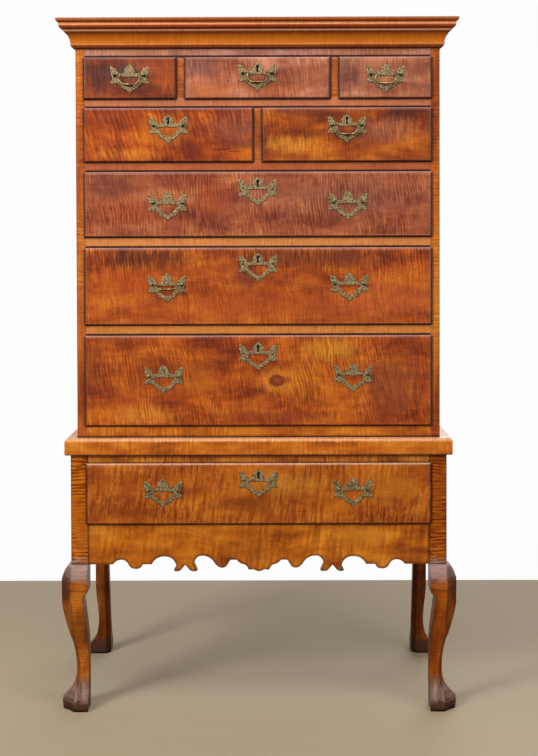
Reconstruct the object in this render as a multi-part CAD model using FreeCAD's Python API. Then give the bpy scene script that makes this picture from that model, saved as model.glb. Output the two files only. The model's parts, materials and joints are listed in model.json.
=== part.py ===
import FreeCAD, Part
import math
import os

# A high chest of drawers in two parts: an upper case with eight lipped drawers under a moulded
# cornice, and a stand with one long drawer, a scrolled apron and four cabriole legs.
# Millimetres, +X to the right, +Y to the back, +Z up.  The origin is on the floor, under the
# middle of the overall width and depth.

Vector = FreeCAD.Vector

# ---- stand ------------------------------------------------------------------------------------
STAND_WIDTH = 973.0           # over the posts
STAND_DEPTH = 500.0           # front of the front posts to back of the rear posts
POST = 44.0                   # side of a square leg post
STAND_RAIL_HEIGHT = 26.0      # rail over the stand drawer
STAND_OPENING_HEIGHT = 151.0  # stand drawer opening
APRON_HEIGHT = 108.5          # drawer opening down to the apron's straight lower edge
LEG_HEIGHT = 377.5            # floor to the apron's straight lower edge
BOARD_SET_BACK = 1.0          # apron, rail and side boards lie this far behind the posts' faces
APRON_THICKNESS = 20.0
STAND_SIDE_THICKNESS = 20.0
STAND_RAIL_DEPTH = 60.0
STAND_BACK_THICKNESS = 18.0
SIDE_ARCH_RISE = 26.0         # the side boards' lower edge rises in a flat arch
SIDE_ARCH_SHOULDER = 62.0     # straight part of the side boards' lower edge beside each post

# ---- upper case -------------------------------------------------------------------------------
CASE_INSET = 16.0             # stands in from the stand's posts, in front and at both sides
CASE_SIDE_THICKNESS = 24.0
CASE_BOTTOM_RAIL = 75.5
CASE_TOP_RAIL = 78.5
CASE_TOP_THICKNESS = 20.0
CASE_BOTTOM_THICKNESS = 18.0
CASE_BOTTOM_LIFT = 20.0       # case bottom above the lower ends of the case sides
RAIL_THICKNESS = 22.0         # top rail and bottom rail, front to back
BLADE_DEPTH = 62.0            # blades between the rows, front to back
DIVIDER = 29.0                # upright dividers in the two top rows
BACK_BOARD_THICKNESS = 12.0
BACK_BOARD_COUNT = 6
BACK_BOARD_GAP = 0.6
ROW_HEIGHTS = (228.0, 193.5, 162.0, 133.0, 101.0)   # drawer openings, from the bottom row up
BLADE_HEIGHTS = (34.2, 34.2, 32.0, 29.7)            # blades over the four lower rows
MIDDLE_TOP_OPENING = 369.0    # middle opening of the three in the top row

# ---- mouldings --------------------------------------------------------------------------------
CORNICE_PROJECTION = 44.5
CORNICE_HEIGHT = 75.0
CORNICE_RISE = 2.0            # cornice above the top board
WAIST_PROJECTION = 14.0       # beyond the stand's posts
WAIST_HEIGHT = 42.5
WAIST_ROUND = 8.0             # quarter round on the waist moulding's upper edge
WAIST_EASE = 2.0              # eased lower edge
SEAT = 0.3                    # gap between pieces that slip past each other

# ---- drawers ----------------------------------------------------------------------------------
LIP = 4.0                     # lip over the rails and dividers, on all four sides
LIP_EDGE = 1.2                # straight edge of the lip, behind its quarter round
LIP_ROUND = 6.0               # quarter round of the thumbnail moulding
FIELD_RISE = 0.8              # small step from the quarter round to the drawer's field
FRONT_INNER = 15.0            # part of a front that stands inside its opening
SIDE_CLEARANCE = 1.5
TOP_CLEARANCE = 3.0
DRAWER_SIDE = 12.0
DRAWER_BACK = 11.0
DRAWER_BOTTOM = 7.0
BOTTOM_LIFT = 9.0             # drawer bottom above the lower edges of the drawer sides
BACK_DROP = 8.0               # drawer back below the upper edges of the drawer sides
REAR_CLEARANCE = 14.0         # closed drawer to the back boards
RUNNER_WIDTH = 26.0
RUNNER_HEIGHT = 18.0
GUIDE_HEIGHT = 16.0           # strip that keeps neighbouring drawers apart

# ---- brasses ----------------------------------------------------------------------------------
POST_SPACING = 76.2           # three inch boring
PLATE_THICKNESS = 1.4
SHANK = 3.6                   # side of a post's square shank, through plate and drawer front
SHANK_CLEARANCE = 0.3
HEAD_RADIUS = 4.4             # ball of a post
NECK_RADIUS = 2.7
FLANGE = 1.6                  # flared foot of a post, on its plate
HINGE_REACH = 9.5             # bail axis in front of the plate
NUT_SIDE = 9.0
NUT_THICKNESS = 3.5
BAIL_DROP = 24.6              # bail axis down to the middle of the grip
BAIL_HALF_WIDTH = 24.0        # middle of the bail's side arms from its centre
BAIL_ROD = 2.3                # radius of the grip
BAIL_PIN = 1.3                # radius of the pins in the posts
PIN_CLEARANCE = 0.1
PIN_DEPTH = 3.0               # pin inside the post's ball
SOCKET_SIDES = 8
BAIL_CORNER = 10.0
BEND_STEPS = 2                # straight lengths that make up a quarter turn of the bail
RAISED_BAIL = 63.0            # degrees from hanging of the one stiff bail
KEYHOLE_RADIUS = 3.0
KEYHOLE_LENGTH = 14.0
KEYHOLE_RISE = 11.0           # keyhole's round end above the posts' line
LOCK_WIDTH = 62.0
LOCK_HEIGHT = 46.0
LOCK_DEPTH = 11.0
LOCK_DROP = 5.0               # lock below the upper edge of its drawer front's inner part
PIN_BOSS_RADIUS = 3.2         # flat head of a pin that holds a plate without posts
PIN_BOSS_HEIGHT = 1.2

# Where the pulls sit, by hand: distance from the middle of a long drawer, and height of the posts
# above the lower edge of the drawer's opening.
TOP_PULL_HEIGHTS = (58.0, 63.0, 59.0)
SECOND_PULL_HEIGHT = 91.5
THIRD_PULLS = ((-233.0, 86.0), (233.0, 87.5))
THIRD_KEYHOLE_HEIGHT = 124.0
FOURTH_PULLS = ((-235.5, 102.5), (236.5, 104.0))
FOURTH_KEYHOLE_HEIGHT = 155.5
FIFTH_PULLS = ((-245.0, 128.0), (246.0, 132.0))
FIFTH_KEYHOLE_HEIGHT = 187.0
STAND_PULLS = ((-247.0, 87.0), (244.0, 89.0))
STAND_KEYHOLE_HEIGHT = 113.0

# ---- derived places ---------------------------------------------------------------------------
REAR_TOE = 22.0               # rear feet reach this far behind the posts
STAND_HALF = STAND_WIDTH / 2
CASE_HALF = STAND_HALF - CASE_INSET
CORNICE_FORWARD = CORNICE_PROJECTION - CASE_INSET
FRONT = (CORNICE_FORWARD - STAND_DEPTH - REAR_TOE) / 2    # front of the stand's posts
BACK = FRONT + STAND_DEPTH
CASE_FRONT = FRONT + CASE_INSET
STAND_OPENING_BOTTOM = LEG_HEIGHT + APRON_HEIGHT
STAND_OPENING_TOP = STAND_OPENING_BOTTOM + STAND_OPENING_HEIGHT
STAND_TOP = STAND_OPENING_TOP + STAND_RAIL_HEIGHT
OPENING_HALF = CASE_HALF - CASE_SIDE_THICKNESS
POST_INNER = STAND_HALF - POST
BACK_BOARDS_FRONT = BACK - BACK_BOARD_THICKNESS


def row_levels():
    """Lower and upper edge of each row of openings in the upper case, from the bottom row up."""
    levels = []
    bottom = STAND_TOP + CASE_BOTTOM_RAIL
    for row, height in enumerate(ROW_HEIGHTS):
        levels.append((bottom, bottom + height))
        if row < len(BLADE_HEIGHTS):
            bottom += height + BLADE_HEIGHTS[row]
    return levels


ROW_LEVELS = row_levels()
SIDE_TOP = ROW_LEVELS[-1][1] + CASE_TOP_RAIL
CORNICE_TOP = SIDE_TOP + CASE_TOP_THICKNESS + CORNICE_RISE


# ---- small helpers ----------------------------------------------------------------------------
def block(x0, x1, y0, y1, z0, z1):
    """A board between two opposite corners."""
    return Part.makeBox(x1 - x0, y1 - y0, z1 - z0, Vector(x0, y0, z0))


def rod(radius, start, direction, length):
    return Part.makeCylinder(radius, length, start, direction)


def square_bar(side, x, z, y0, y1):
    """Square bar along Y about the line through x and z."""
    return block(x - side / 2, x + side / 2, y0, y1, z - side / 2, z + side / 2)


def polygon(radius, sides, place, across, up):
    """Corners of a regular polygon about place, in the plane of two unit directions."""
    angles = [2 * math.pi * (step + 0.5) / sides for step in range(sides)]
    return [place + across * (radius * math.cos(angle)) + up * (radius * math.sin(angle))
            for angle in angles]


def closed(corners):
    return Part.makePolygon(corners + corners[:1])


def faceted(rings):
    """Solid with flat sides through rings of corners, each ring a polygon of the same kind."""
    faces = [Part.Face(closed(rings[0])), Part.Face(closed(rings[-1]))]
    for ring, following in zip(rings, rings[1:]):
        for here in range(len(ring)):
            corners = [ring[here], ring[here - 1], following[here - 1], following[here]]
            faces.append(Part.Face(closed(corners)))
    return Part.makeSolid(Part.makeShell(faces))


def outline(start, steps):
    """Edges from start through steps: each step is (end,) for a line or (middle, end) for an arc."""
    edges = []
    here = start
    for step in steps:
        end = step[-1]
        if len(step) == 1:
            edges.append(Part.LineSegment(here, end).toShape())
        else:
            edges.append(Part.Arc(here, step[0], end).toShape())
        here = end
    return edges


def face_of(edges):
    return Part.Face(Part.Wire(Part.__sortEdges__(edges)))


def mirrored(shape):
    """The same piece on the other side of the middle."""
    return shape.mirror(Vector(0, 0, 0), Vector(1, 0, 0))


def group(solids):
    """Separate solids that share one node."""
    return Part.makeCompound(solids)


# ---- legs -------------------------------------------------------------------------------------
# A leg is sawn from the square twice, with the same pattern on two neighbouring faces, and its
# outer corner is then cut away so that an arris runs down in line with the post's own corner.
# A pattern starts at its first point; after it, a pair is an arc's middle and end, and a single point
# ends a straight stretch.  Points are height and offset: the outer curve's offset is from the post's
# outer face, outwards, and the inner curve's is from the post's inner face, in towards the outer one.
ARRIS = 4.0                   # smallest cut on the outer corner
INNER_EASE = 5.0              # cut on a front leg's inner corner
REAR_INNER_EASE = 12.0        # the same on a rear leg
REAR_THINNING = 8.0           # a rear leg is sawn this much thinner than its post, on its inner sides
PAD_HEIGHT = 23.0             # band under the toes
PAD_INSET = 3.0               # the band narrows by this much down to the floor
KNEE_END = 303.0              # lower end of the knee, where its inner side steps back
KNEE_STEP = 12.0

FRONT_LEG_OUTER = (
    ((LEG_HEIGHT, 0.0),), ((362.0, 18.4), (336.0, 26.4)), ((299.0, 28.0), (250.0, 21.4)),
    ((197.0, 5.2), (148.0, -7.5)), ((98.0, -10.4), (58.0, -2.8)), ((42.0, 9.0), (PAD_HEIGHT, 25.0)),
)
FRONT_LEG_INNER = (((KNEE_END, KNEE_STEP),), ((245.0, 6.4), (170.0, 0.9)), ((0.0, 0.8),))
REAR_LEG_OUTER = (
    ((LEG_HEIGHT, 0.0),), ((224.0, 0.0),), ((180.0, -2.0), (133.0, -7.4)),
    ((98.0, -9.6), (62.0, -4.2)), ((42.0, 7.6), (PAD_HEIGHT, REAR_TOE)),
)
REAR_LEG_INNER = (((LEG_HEIGHT, 0.0),), ((LEG_HEIGHT - 12.0, REAR_THINNING),), ((230.0, 6.2), (90.0, 1.6)),
                  ((PAD_HEIGHT, 0.6),), ((0.0, 1.6),))


def shifted(pattern, change):
    """The same pattern with each offset changed."""
    return [[(height, change(offset)) for height, offset in step] for step in pattern]


def sawn(outer, inner, knee_side, place, direction):
    """Prism of a leg pattern, from its outer and inner curve, both from the top down.

    Where the inner curve starts below the top, the knee is straight on that side, at the offset
    knee_side, with a rounded lower end.
    """
    def edges_of(pattern):
        steps = [tuple(place(offset, height) for height, offset in step) for step in pattern[1:]]
        height, offset = pattern[0][0]
        return outline(place(offset, height), steps)

    top, top_offset = outer[0][0]
    toe_height, toe = outer[-1][-1]
    low, heel = inner[-1][-1]
    start = place(top_offset, top)
    knee_end, shaft_side = inner[0][0]
    shaft_start = place(shaft_side, knee_end)
    edges = edges_of(outer) + edges_of(inner)
    edges += outline(place(toe, toe_height), ((place(toe - PAD_INSET, low),), (place(heel, low),)))
    if knee_end < top:
        step = shaft_side - knee_side
        turn = step / 2 * (1 - math.sqrt(0.5))
        edges += outline(shaft_start, (
            (place(knee_side + 2 * turn, knee_end + turn), place(knee_side, knee_end + step / 2)),
            (place(knee_side, top),), (start,)))
    else:
        edges += outline(shaft_start, ((start,),))
    return face_of(edges).extrude(direction)


def leg(outer, inner, ease):
    """Right front leg about its post's outer front corner."""
    far = 3 * POST
    edge = shifted(inner, lambda offset: offset - POST)
    across = sawn(outer, edge, -POST, lambda offset, z: Vector(offset, -far, z), Vector(0, 2 * far, 0))
    along = sawn(outer, edge, -POST, lambda offset, z: Vector(-far, -offset, z), Vector(2 * far, 0, 0))
    # The third pattern lies in the vertical plane through the outer and the inner corner.
    corner_out = shifted(outer, lambda offset: offset + min(offset - ARRIS, 0.0))
    corner_in = shifted(edge, lambda offset: 2 * offset + ease)

    def diagonal(offset, z):
        return Vector(offset / 2 - far, -offset / 2 - far, z)

    corner = sawn(corner_out, corner_in, -2 * POST, diagonal, Vector(2 * far, 2 * far, 0))
    post = block(-POST, 0.0, 0.0, POST, LEG_HEIGHT, STAND_TOP)
    return across.common(along).common(corner).fuse(post).removeSplitter()


def legs():
    front = leg(FRONT_LEG_OUTER, FRONT_LEG_INNER, INNER_EASE)
    front.translate(Vector(STAND_HALF, FRONT, 0))
    rear = leg(REAR_LEG_OUTER, REAR_LEG_INNER, REAR_INNER_EASE).mirror(Vector(0, 0, 0), Vector(0, 1, 0))
    rear.translate(Vector(STAND_HALF, BACK, 0))
    return {"leg_front_right": front, "leg_front_left": mirrored(front),
            "leg_rear_right": rear, "leg_rear_left": mirrored(rear)}


# ---- stand frame ------------------------------------------------------------------------------
# The apron's scrolled edge from its middle to the right: distance from the middle and height above
# the straight lower edge.  Pairs are an arc's middle and end, single points end a straight stretch.
APRON_SCROLL = (
    ((8.0, -16.6), (14.2, -13.0)), ((21.0, -14.4), (27.7, -13.2)), ((32.0, -4.6), (40.7, 0.0)),
    ((50.5, 4.4), (57.5, 11.4)), ((73.8, 11.4),), ((84.0, -5.0),), ((94.3, -9.3), (105.0, -6.6)),
    ((112.9, 0.0),), ((126.0, 15.6), (147.6, 22.3)), ((162.5, 15.0), (167.3, 0.5)), ((159.3, -16.3),),
    ((169.5, -18.4), (179.2, -15.3)), ((191.1, -1.8),), ((202.0, -14.5),),
    ((211.5, -18.4), (220.7, -16.3)), ((214.5, -4.4),), ((222.4, 12.0), (241.4, 20.2)),
    ((262.0, 16.6), (277.9, 0.0)), ((301.5, 0.0),), ((307.0, -8.6), (319.3, -11.7)),
    ((330.8, -9.2), (337.5, -2.0)), ((346.0, 8.8), (360.0, 11.7)), ((371.0, 7.6), (378.1, 0.0)),
)
APRON_TIP = -18.4             # middle of the scrolled edge, below the straight lower edge


def apron():
    """Board under the stand drawer, between the front posts."""
    face_y = FRONT + BOARD_SET_BACK

    def at(x, rise, side):
        return Vector(side * x, face_y, LEG_HEIGHT + rise)

    edges = []
    for side in (1, -1):
        steps = [tuple(at(x, rise, side) for x, rise in step) for step in APRON_SCROLL]
        steps.append((at(POST_INNER, 0.0, side),))
        steps.append((at(POST_INNER, APRON_HEIGHT, side),))
        edges += outline(at(0.0, APRON_TIP, side), steps)
    edges += outline(at(POST_INNER, APRON_HEIGHT, 1), ((at(POST_INNER, APRON_HEIGHT, -1),),))
    return face_of(edges).extrude(Vector(0, APRON_THICKNESS, 0))


def stand_side():
    """Right side board, between the front and rear posts, with a flat arch below."""
    outer = STAND_HALF - BOARD_SET_BACK
    front = FRONT + POST
    back = BACK - POST
    rise_end = SIDE_ARCH_SHOULDER + SIDE_ARCH_RISE
    curve = SIDE_ARCH_RISE * math.sqrt(0.5)

    def at(y, z):
        return Vector(outer, y, LEG_HEIGHT + z)

    top = STAND_TOP - LEG_HEIGHT
    steps = (
        (at(front + SIDE_ARCH_SHOULDER, 0),),
        (at(front + rise_end - curve, curve), at(front + rise_end, SIDE_ARCH_RISE)),
        (at(back - rise_end, SIDE_ARCH_RISE),),
        (at(back - rise_end + curve, curve), at(back - SIDE_ARCH_SHOULDER, 0)),
        (at(back, 0),),
        (at(back, top),),
        (at(front, top),),
        (at(front, 0),),
    )
    return face_of(outline(at(front, 0), steps)).extrude(Vector(-STAND_SIDE_THICKNESS, 0, 0))


def stand_frame():
    rail_front = FRONT + BOARD_SET_BACK
    side = stand_side()
    rail = block(-POST_INNER, POST_INNER, rail_front, rail_front + STAND_RAIL_DEPTH,
                 STAND_OPENING_TOP, STAND_TOP)
    back_y = BACK - BOARD_SET_BACK
    back = block(-POST_INNER, POST_INNER, back_y - STAND_BACK_THICKNESS, back_y, LEG_HEIGHT, STAND_TOP)
    return {"stand_side_right": side, "stand_side_left": mirrored(side), "stand_top_rail": rail,
            "stand_back": back, "apron": apron()}


def stand_runners():
    """Runner under each side of the stand drawer, with a guide that fills out to the side board."""
    inner_wall = STAND_HALF - BOARD_SET_BACK - STAND_SIDE_THICKNESS
    front = FRONT + POST
    back = BACK - POST
    runner = block(POST_INNER - RUNNER_WIDTH, inner_wall, front, back,
                   STAND_OPENING_BOTTOM - RUNNER_HEIGHT, STAND_OPENING_BOTTOM)
    guide = block(POST_INNER, inner_wall, front, back,
                  STAND_OPENING_BOTTOM, STAND_OPENING_BOTTOM + GUIDE_HEIGHT)
    return [runner, guide, mirrored(runner), mirrored(guide)]


# ---- waist moulding and cornice ---------------------------------------------------------------
def mitred(profile, front_y, half_width, back_y, reach):
    """Front length and right return of a moulding whose section is given as (projection, height).

    The section stands out from a case face at front_y and half_width, by reach at most.
    """
    def front_point(point):
        return Vector(-half_width - reach, front_y - point[0], point[1])

    def side_point(point):
        return Vector(half_width + point[0], back_y, point[1])

    def prism(place, direction):
        start = place(profile[0][-1])
        steps = [tuple(place(point) for point in step) for step in profile[1:]]
        return face_of(outline(start, steps)).extrude(direction)

    low = min(point[1] for step in profile for point in step) - reach
    high = max(point[1] for step in profile for point in step) + reach
    far = half_width + reach
    corner_y = front_y - reach
    # Everything in front of both mitre lines belongs to the front length.
    inside = half_width - reach
    front_zone = (Vector(-far, corner_y, low), Vector(far, corner_y, low),
                  Vector(inside, front_y + reach, low), Vector(-inside, front_y + reach, low),
                  Vector(-far, corner_y, low))
    front_prism = Part.Face(Part.makePolygon(front_zone)).extrude(Vector(0, 0, high - low))
    front = prism(front_point, Vector(2 * far, 0, 0)).common(front_prism)
    side = prism(side_point, Vector(0, corner_y - back_y, 0)).cut(front_prism)
    return front, side


def waist_moulding():
    """Flat strip with a rounded upper edge that stands on the stand and frames the upper case."""
    reach = CASE_INSET + WAIST_PROJECTION
    top = STAND_TOP + WAIST_HEIGHT
    turn = WAIST_ROUND * math.sqrt(0.5)
    profile = (
        ((SEAT, STAND_TOP),),
        ((reach - WAIST_EASE, STAND_TOP),),
        ((reach, STAND_TOP + WAIST_EASE),),
        ((reach, top - WAIST_ROUND),),
        ((reach - WAIST_ROUND + turn, top - WAIST_ROUND + turn), (reach - WAIST_ROUND, top)),
        ((SEAT, top),),
        ((SEAT, STAND_TOP),),
    )
    front, side = mitred(profile, CASE_FRONT, CASE_HALF, BACK, reach)
    return {"waist_front": front, "waist_right": side, "waist_left": mirrored(side)}


# Section of the cornice: projection and distance below its top.
CORNICE_CURVES = (
    ((0.0, 0.0),), ((CORNICE_PROJECTION, 0.0),), ((CORNICE_PROJECTION, 5.0),),
    ((42.6, 8.8), (38.0, 10.4)), ((38.0, 16.2),), ((36.6, 22.6), (29.8, 27.6)), ((27.6, 31.6),),
    ((16.6, 43.4), (11.4, 64.4)), ((10.4, 67.2),), ((6.6, 72.6), (0.0, CORNICE_HEIGHT)), ((0.0, 0.0),),
)


def cornice():
    """Crown moulding: fillet, ovolo, large cove and a small ovolo against the case."""
    profile = [tuple((out, CORNICE_TOP - down) for out, down in step) for step in CORNICE_CURVES]
    front, side = mitred(profile, CASE_FRONT, CASE_HALF, BACK, CORNICE_PROJECTION)
    return {"cornice_front": front, "cornice_right": side, "cornice_left": mirrored(side)}


# ---- upper case -------------------------------------------------------------------------------
def case_shell():
    side = block(OPENING_HALF, CASE_HALF, CASE_FRONT, BACK, STAND_TOP, SIDE_TOP)
    top = block(-CASE_HALF, CASE_HALF, CASE_FRONT, BACK, SIDE_TOP, SIDE_TOP + CASE_TOP_THICKNESS)
    bottom_z = STAND_TOP + CASE_BOTTOM_LIFT
    bottom = block(-OPENING_HALF, OPENING_HALF, CASE_FRONT + RAIL_THICKNESS, BACK_BOARDS_FRONT,
                   bottom_z, bottom_z + CASE_BOTTOM_THICKNESS)
    return {"case_side_right": side, "case_side_left": mirrored(side), "case_top": top,
            "case_bottom": bottom}


def back_boards():
    """Horizontal boards nailed between the case sides, with a hair's gap at each joint."""
    height = (SIDE_TOP - STAND_TOP) / BACK_BOARD_COUNT
    boards = []
    for place in range(BACK_BOARD_COUNT):
        low = STAND_TOP + place * height
        lift = BACK_BOARD_GAP if place else 0.0
        boards.append(block(-OPENING_HALF, OPENING_HALF, BACK_BOARDS_FRONT, BACK, low + lift, low + height))
    return group(boards)


def case_rails():
    """Top rail, bottom rail and the blades between the rows."""
    back = CASE_FRONT + RAIL_THICKNESS
    top_rail = block(-OPENING_HALF, OPENING_HALF, CASE_FRONT, back, ROW_LEVELS[-1][1], SIDE_TOP)
    bottom_rail = block(-OPENING_HALF, OPENING_HALF, CASE_FRONT, back, STAND_TOP, ROW_LEVELS[0][0])
    blades = [block(-OPENING_HALF, OPENING_HALF, CASE_FRONT, CASE_FRONT + BLADE_DEPTH,
                    below[1], above[0]) for below, above in zip(ROW_LEVELS, ROW_LEVELS[1:])]
    return {"top_rail": top_rail, "bottom_rail": bottom_rail, "drawer_blades": group(blades)}


DIVIDER_X = MIDDLE_TOP_OPENING / 2 + DIVIDER / 2     # middle of a top row divider


def dividers():
    def upright(x, level):
        return block(x - DIVIDER / 2, x + DIVIDER / 2, CASE_FRONT, CASE_FRONT + BLADE_DEPTH,
                     level[0], level[1])

    top_pair = [upright(-DIVIDER_X, ROW_LEVELS[4]), upright(DIVIDER_X, ROW_LEVELS[4])]
    return {"top_row_dividers": group(top_pair), "second_row_divider": upright(0.0, ROW_LEVELS[3])}


def case_runners():
    """Runners under the drawers' sides, and wide ones with a guide where two drawers meet."""
    strips = []
    for row, (low, _) in enumerate(ROW_LEVELS):
        front = CASE_FRONT + (BLADE_DEPTH if row else RAIL_THICKNESS)
        bottom = low - RUNNER_HEIGHT if row else STAND_TOP + CASE_BOTTOM_LIFT + CASE_BOTTOM_THICKNESS
        edge = block(OPENING_HALF - RUNNER_WIDTH, OPENING_HALF, front, BACK_BOARDS_FRONT, bottom, low)
        strips += [edge, mirrored(edge)]
        for middle in {3: (0.0,), 4: (-DIVIDER_X, DIVIDER_X)}.get(row, ()):
            half = DIVIDER / 2 + RUNNER_WIDTH
            strips.append(block(middle - half, middle + half, front, BACK_BOARDS_FRONT, bottom, low))
            strips.append(block(middle - DIVIDER / 2, middle + DIVIDER / 2, front, BACK_BOARDS_FRONT,
                                low, low + GUIDE_HEIGHT))
    return strips


# ---- drawers ----------------------------------------------------------------------------------
class Drawer:
    """One drawer: its opening, the case face that it closes against, and its brasses.

    pulls holds, for each pull, its distance from the middle of the chest, its height above the
    opening's lower edge, whether its plate has a keyhole and how its bail is left: "hanging",
    "raised" or None where the bail is gone.  escutcheon is the height of a plate without posts.
    """

    def __init__(self, name, left, right, level, face_y, depth, pulls, escutcheon=None):
        self.name = name
        self.left = left
        self.right = right
        self.low, self.high = level
        self.face_y = face_y
        self.depth = depth
        self.pulls = pulls
        self.escutcheon = escutcheon

    def middle(self):
        return (self.left + self.right) / 2

    def lip_back(self):
        """Back of the lip, a hair in front of the case when the drawer is shut."""
        return self.face_y - SEAT

    def field_y(self):
        """The drawer's face, in front of the case."""
        return self.lip_back() - LIP_EDGE - LIP_ROUND - FIELD_RISE

    def inner_y(self):
        """The inside of the drawer's front."""
        return self.face_y + FRONT_INNER

    def plates(self):
        """Middle and post line of each plate, and whether it has a keyhole and posts."""
        places = [(x, self.low + rise, keyed, True) for x, rise, keyed, _ in self.pulls]
        if self.escutcheon is not None:
            places.append((self.middle(), self.low + self.escutcheon, True, False))
        return places


def all_drawers():
    upper_depth = BACK_BOARDS_FRONT - REAR_CLEARANCE - CASE_FRONT
    stand_depth = BACK - BOARD_SET_BACK - STAND_BACK_THICKNESS - REAR_CLEARANCE - FRONT
    half_divider = DIVIDER / 2
    top_edge = MIDDLE_TOP_OPENING / 2
    top_middle = (OPENING_HALF + DIVIDER_X + half_divider) / 2
    second_middle = (OPENING_HALF + half_divider) / 2

    def upper(name, left, right, row, pulls, escutcheon=None):
        return Drawer(name, left, right, ROW_LEVELS[row], CASE_FRONT, upper_depth, pulls, escutcheon)

    return [
        upper("top_left", -OPENING_HALF, -DIVIDER_X - half_divider, 4,
              [(-top_middle, TOP_PULL_HEIGHTS[0], False, "hanging")]),
        upper("top_middle", -top_edge, top_edge, 4,
              [(0.0, TOP_PULL_HEIGHTS[1], True, "hanging")]),
        upper("top_right", DIVIDER_X + half_divider, OPENING_HALF, 4,
              [(top_middle, TOP_PULL_HEIGHTS[2], False, "hanging")]),
        upper("second_left", -OPENING_HALF, -half_divider, 3,
              [(-second_middle, SECOND_PULL_HEIGHT, True, None)]),
        upper("second_right", half_divider, OPENING_HALF, 3,
              [(second_middle, SECOND_PULL_HEIGHT, True, "hanging")]),
        upper("third", -OPENING_HALF, OPENING_HALF, 2,
              [(*THIRD_PULLS[0], False, None), (*THIRD_PULLS[1], False, None)], THIRD_KEYHOLE_HEIGHT),
        upper("fourth", -OPENING_HALF, OPENING_HALF, 1,
              [(*FOURTH_PULLS[0], False, "raised"), (*FOURTH_PULLS[1], False, None)],
              FOURTH_KEYHOLE_HEIGHT),
        upper("fifth", -OPENING_HALF, OPENING_HALF, 0,
              [(*FIFTH_PULLS[0], False, None), (*FIFTH_PULLS[1], False, None)], FIFTH_KEYHOLE_HEIGHT),
        Drawer("stand", -POST_INNER, POST_INNER, (STAND_OPENING_BOTTOM, STAND_OPENING_TOP),
               FRONT, stand_depth,
               [(*STAND_PULLS[0], False, None), (*STAND_PULLS[1], False, None)],
               STAND_KEYHOLE_HEIGHT),
    ]


def lip_profile(low, high, back, place):
    """Section of a lipped front: a field raised between two thumbnail mouldings.

    low and high are the lip's edges, back is its back face, and place puts a pair of distance
    along the section and Y into space.
    """
    edge = back - LIP_EDGE
    face = edge - LIP_ROUND
    field = face - FIELD_RISE
    turn = LIP_ROUND * math.sqrt(0.5)
    steps = (
        (place(low, edge),),
        (place(low + LIP_ROUND - turn, edge - turn), place(low + LIP_ROUND, face)),
        (place(low + LIP_ROUND, field),),
        (place(high - LIP_ROUND, field),),
        (place(high - LIP_ROUND, face),),
        (place(high - LIP_ROUND + turn, edge - turn), place(high, edge)),
        (place(high, back),),
        (place(low, back),),
    )
    return face_of(outline(place(low, back), steps))


def drawer_front(drawer):
    """Lipped front: an inner part in the opening, and a lip with a thumbnail moulding round it."""
    left = drawer.left - LIP
    right = drawer.right + LIP
    low = drawer.low - LIP
    high = drawer.high + LIP
    back = drawer.lip_back()
    along = lip_profile(low, high, back, lambda z, y: Vector(left, y, z)).extrude(Vector(right - left, 0, 0))
    upright = lip_profile(left, right, back, lambda x, y: Vector(x, y, low)).extrude(Vector(0, 0, high - low))
    inner = block(drawer.left + SIDE_CLEARANCE, drawer.right - SIDE_CLEARANCE, back, drawer.inner_y(),
                  drawer.low + SEAT, drawer.high - TOP_CLEARANCE)
    front = along.common(upright).fuse(inner).removeSplitter()
    bores = [square_bar(SHANK + 2 * SHANK_CLEARANCE, x + side * POST_SPACING / 2, z,
                        drawer.field_y(), drawer.inner_y())
             for x, z, _, has_posts in drawer.plates() if has_posts for side in (-1, 1)]
    return front.cut(bores)


def drawer_box(drawer):
    """Two sides, a back and a bottom; the bottom slides into grooves in the sides and the front."""
    left = drawer.left + SIDE_CLEARANCE
    right = drawer.right - SIDE_CLEARANCE
    front = drawer.inner_y()
    back = drawer.face_y + drawer.depth
    low = drawer.low + SEAT
    high = drawer.high - TOP_CLEARANCE
    bottom_z = low + BOTTOM_LIFT
    sides = [block(left, left + DRAWER_SIDE, front, back, low, high),
             block(right - DRAWER_SIDE, right, front, back, low, high)]
    bottom = block(left + DRAWER_SIDE, right - DRAWER_SIDE, front, back,
                   bottom_z, bottom_z + DRAWER_BOTTOM)
    back_board = block(left + DRAWER_SIDE, right - DRAWER_SIDE, back - DRAWER_BACK, back,
                       bottom_z + DRAWER_BOTTOM, high - BACK_DROP)
    return group(sides + [bottom, back_board])


# ---- brasses ----------------------------------------------------------------------------------
# Right half of a pierced batwing plate, from its crest to its pendant: distance from the middle
# and height above the line of the posts.
PLATE_HALF = (
    (0.0, 32.0), (5.0, 25.0), (11.0, 20.0), (16.0, 12.4), (28.6, 10.6), (35.0, 14.0), (40.0, 25.0),
    (47.4, 24.6), (50.0, 12.0), (46.6, 0.0), (49.6, -17.6), (26.0, -18.0), (23.0, -30.0), (10.0, -35.6),
    (0.0, -43.6),
)
# Right half of its opening, from the middle of the upper edge to the point below.
PIERCING_HALF = ((0.0, -4.0), (5.0, -1.0), (25.0, -3.0), (21.0, -12.6), (10.0, -16.0), (0.0, -28.0))


def closed_halves(half, x, y, z):
    """A face in the XZ plane from the right half of an outline that mirrors on its middle."""
    right = [Vector(x + across, y, z + up) for across, up in half]
    left = [Vector(x - across, y, z + up) for across, up in reversed(half[1:-1])]
    return Part.Face(Part.makePolygon(right + left + right[:1]))


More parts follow.
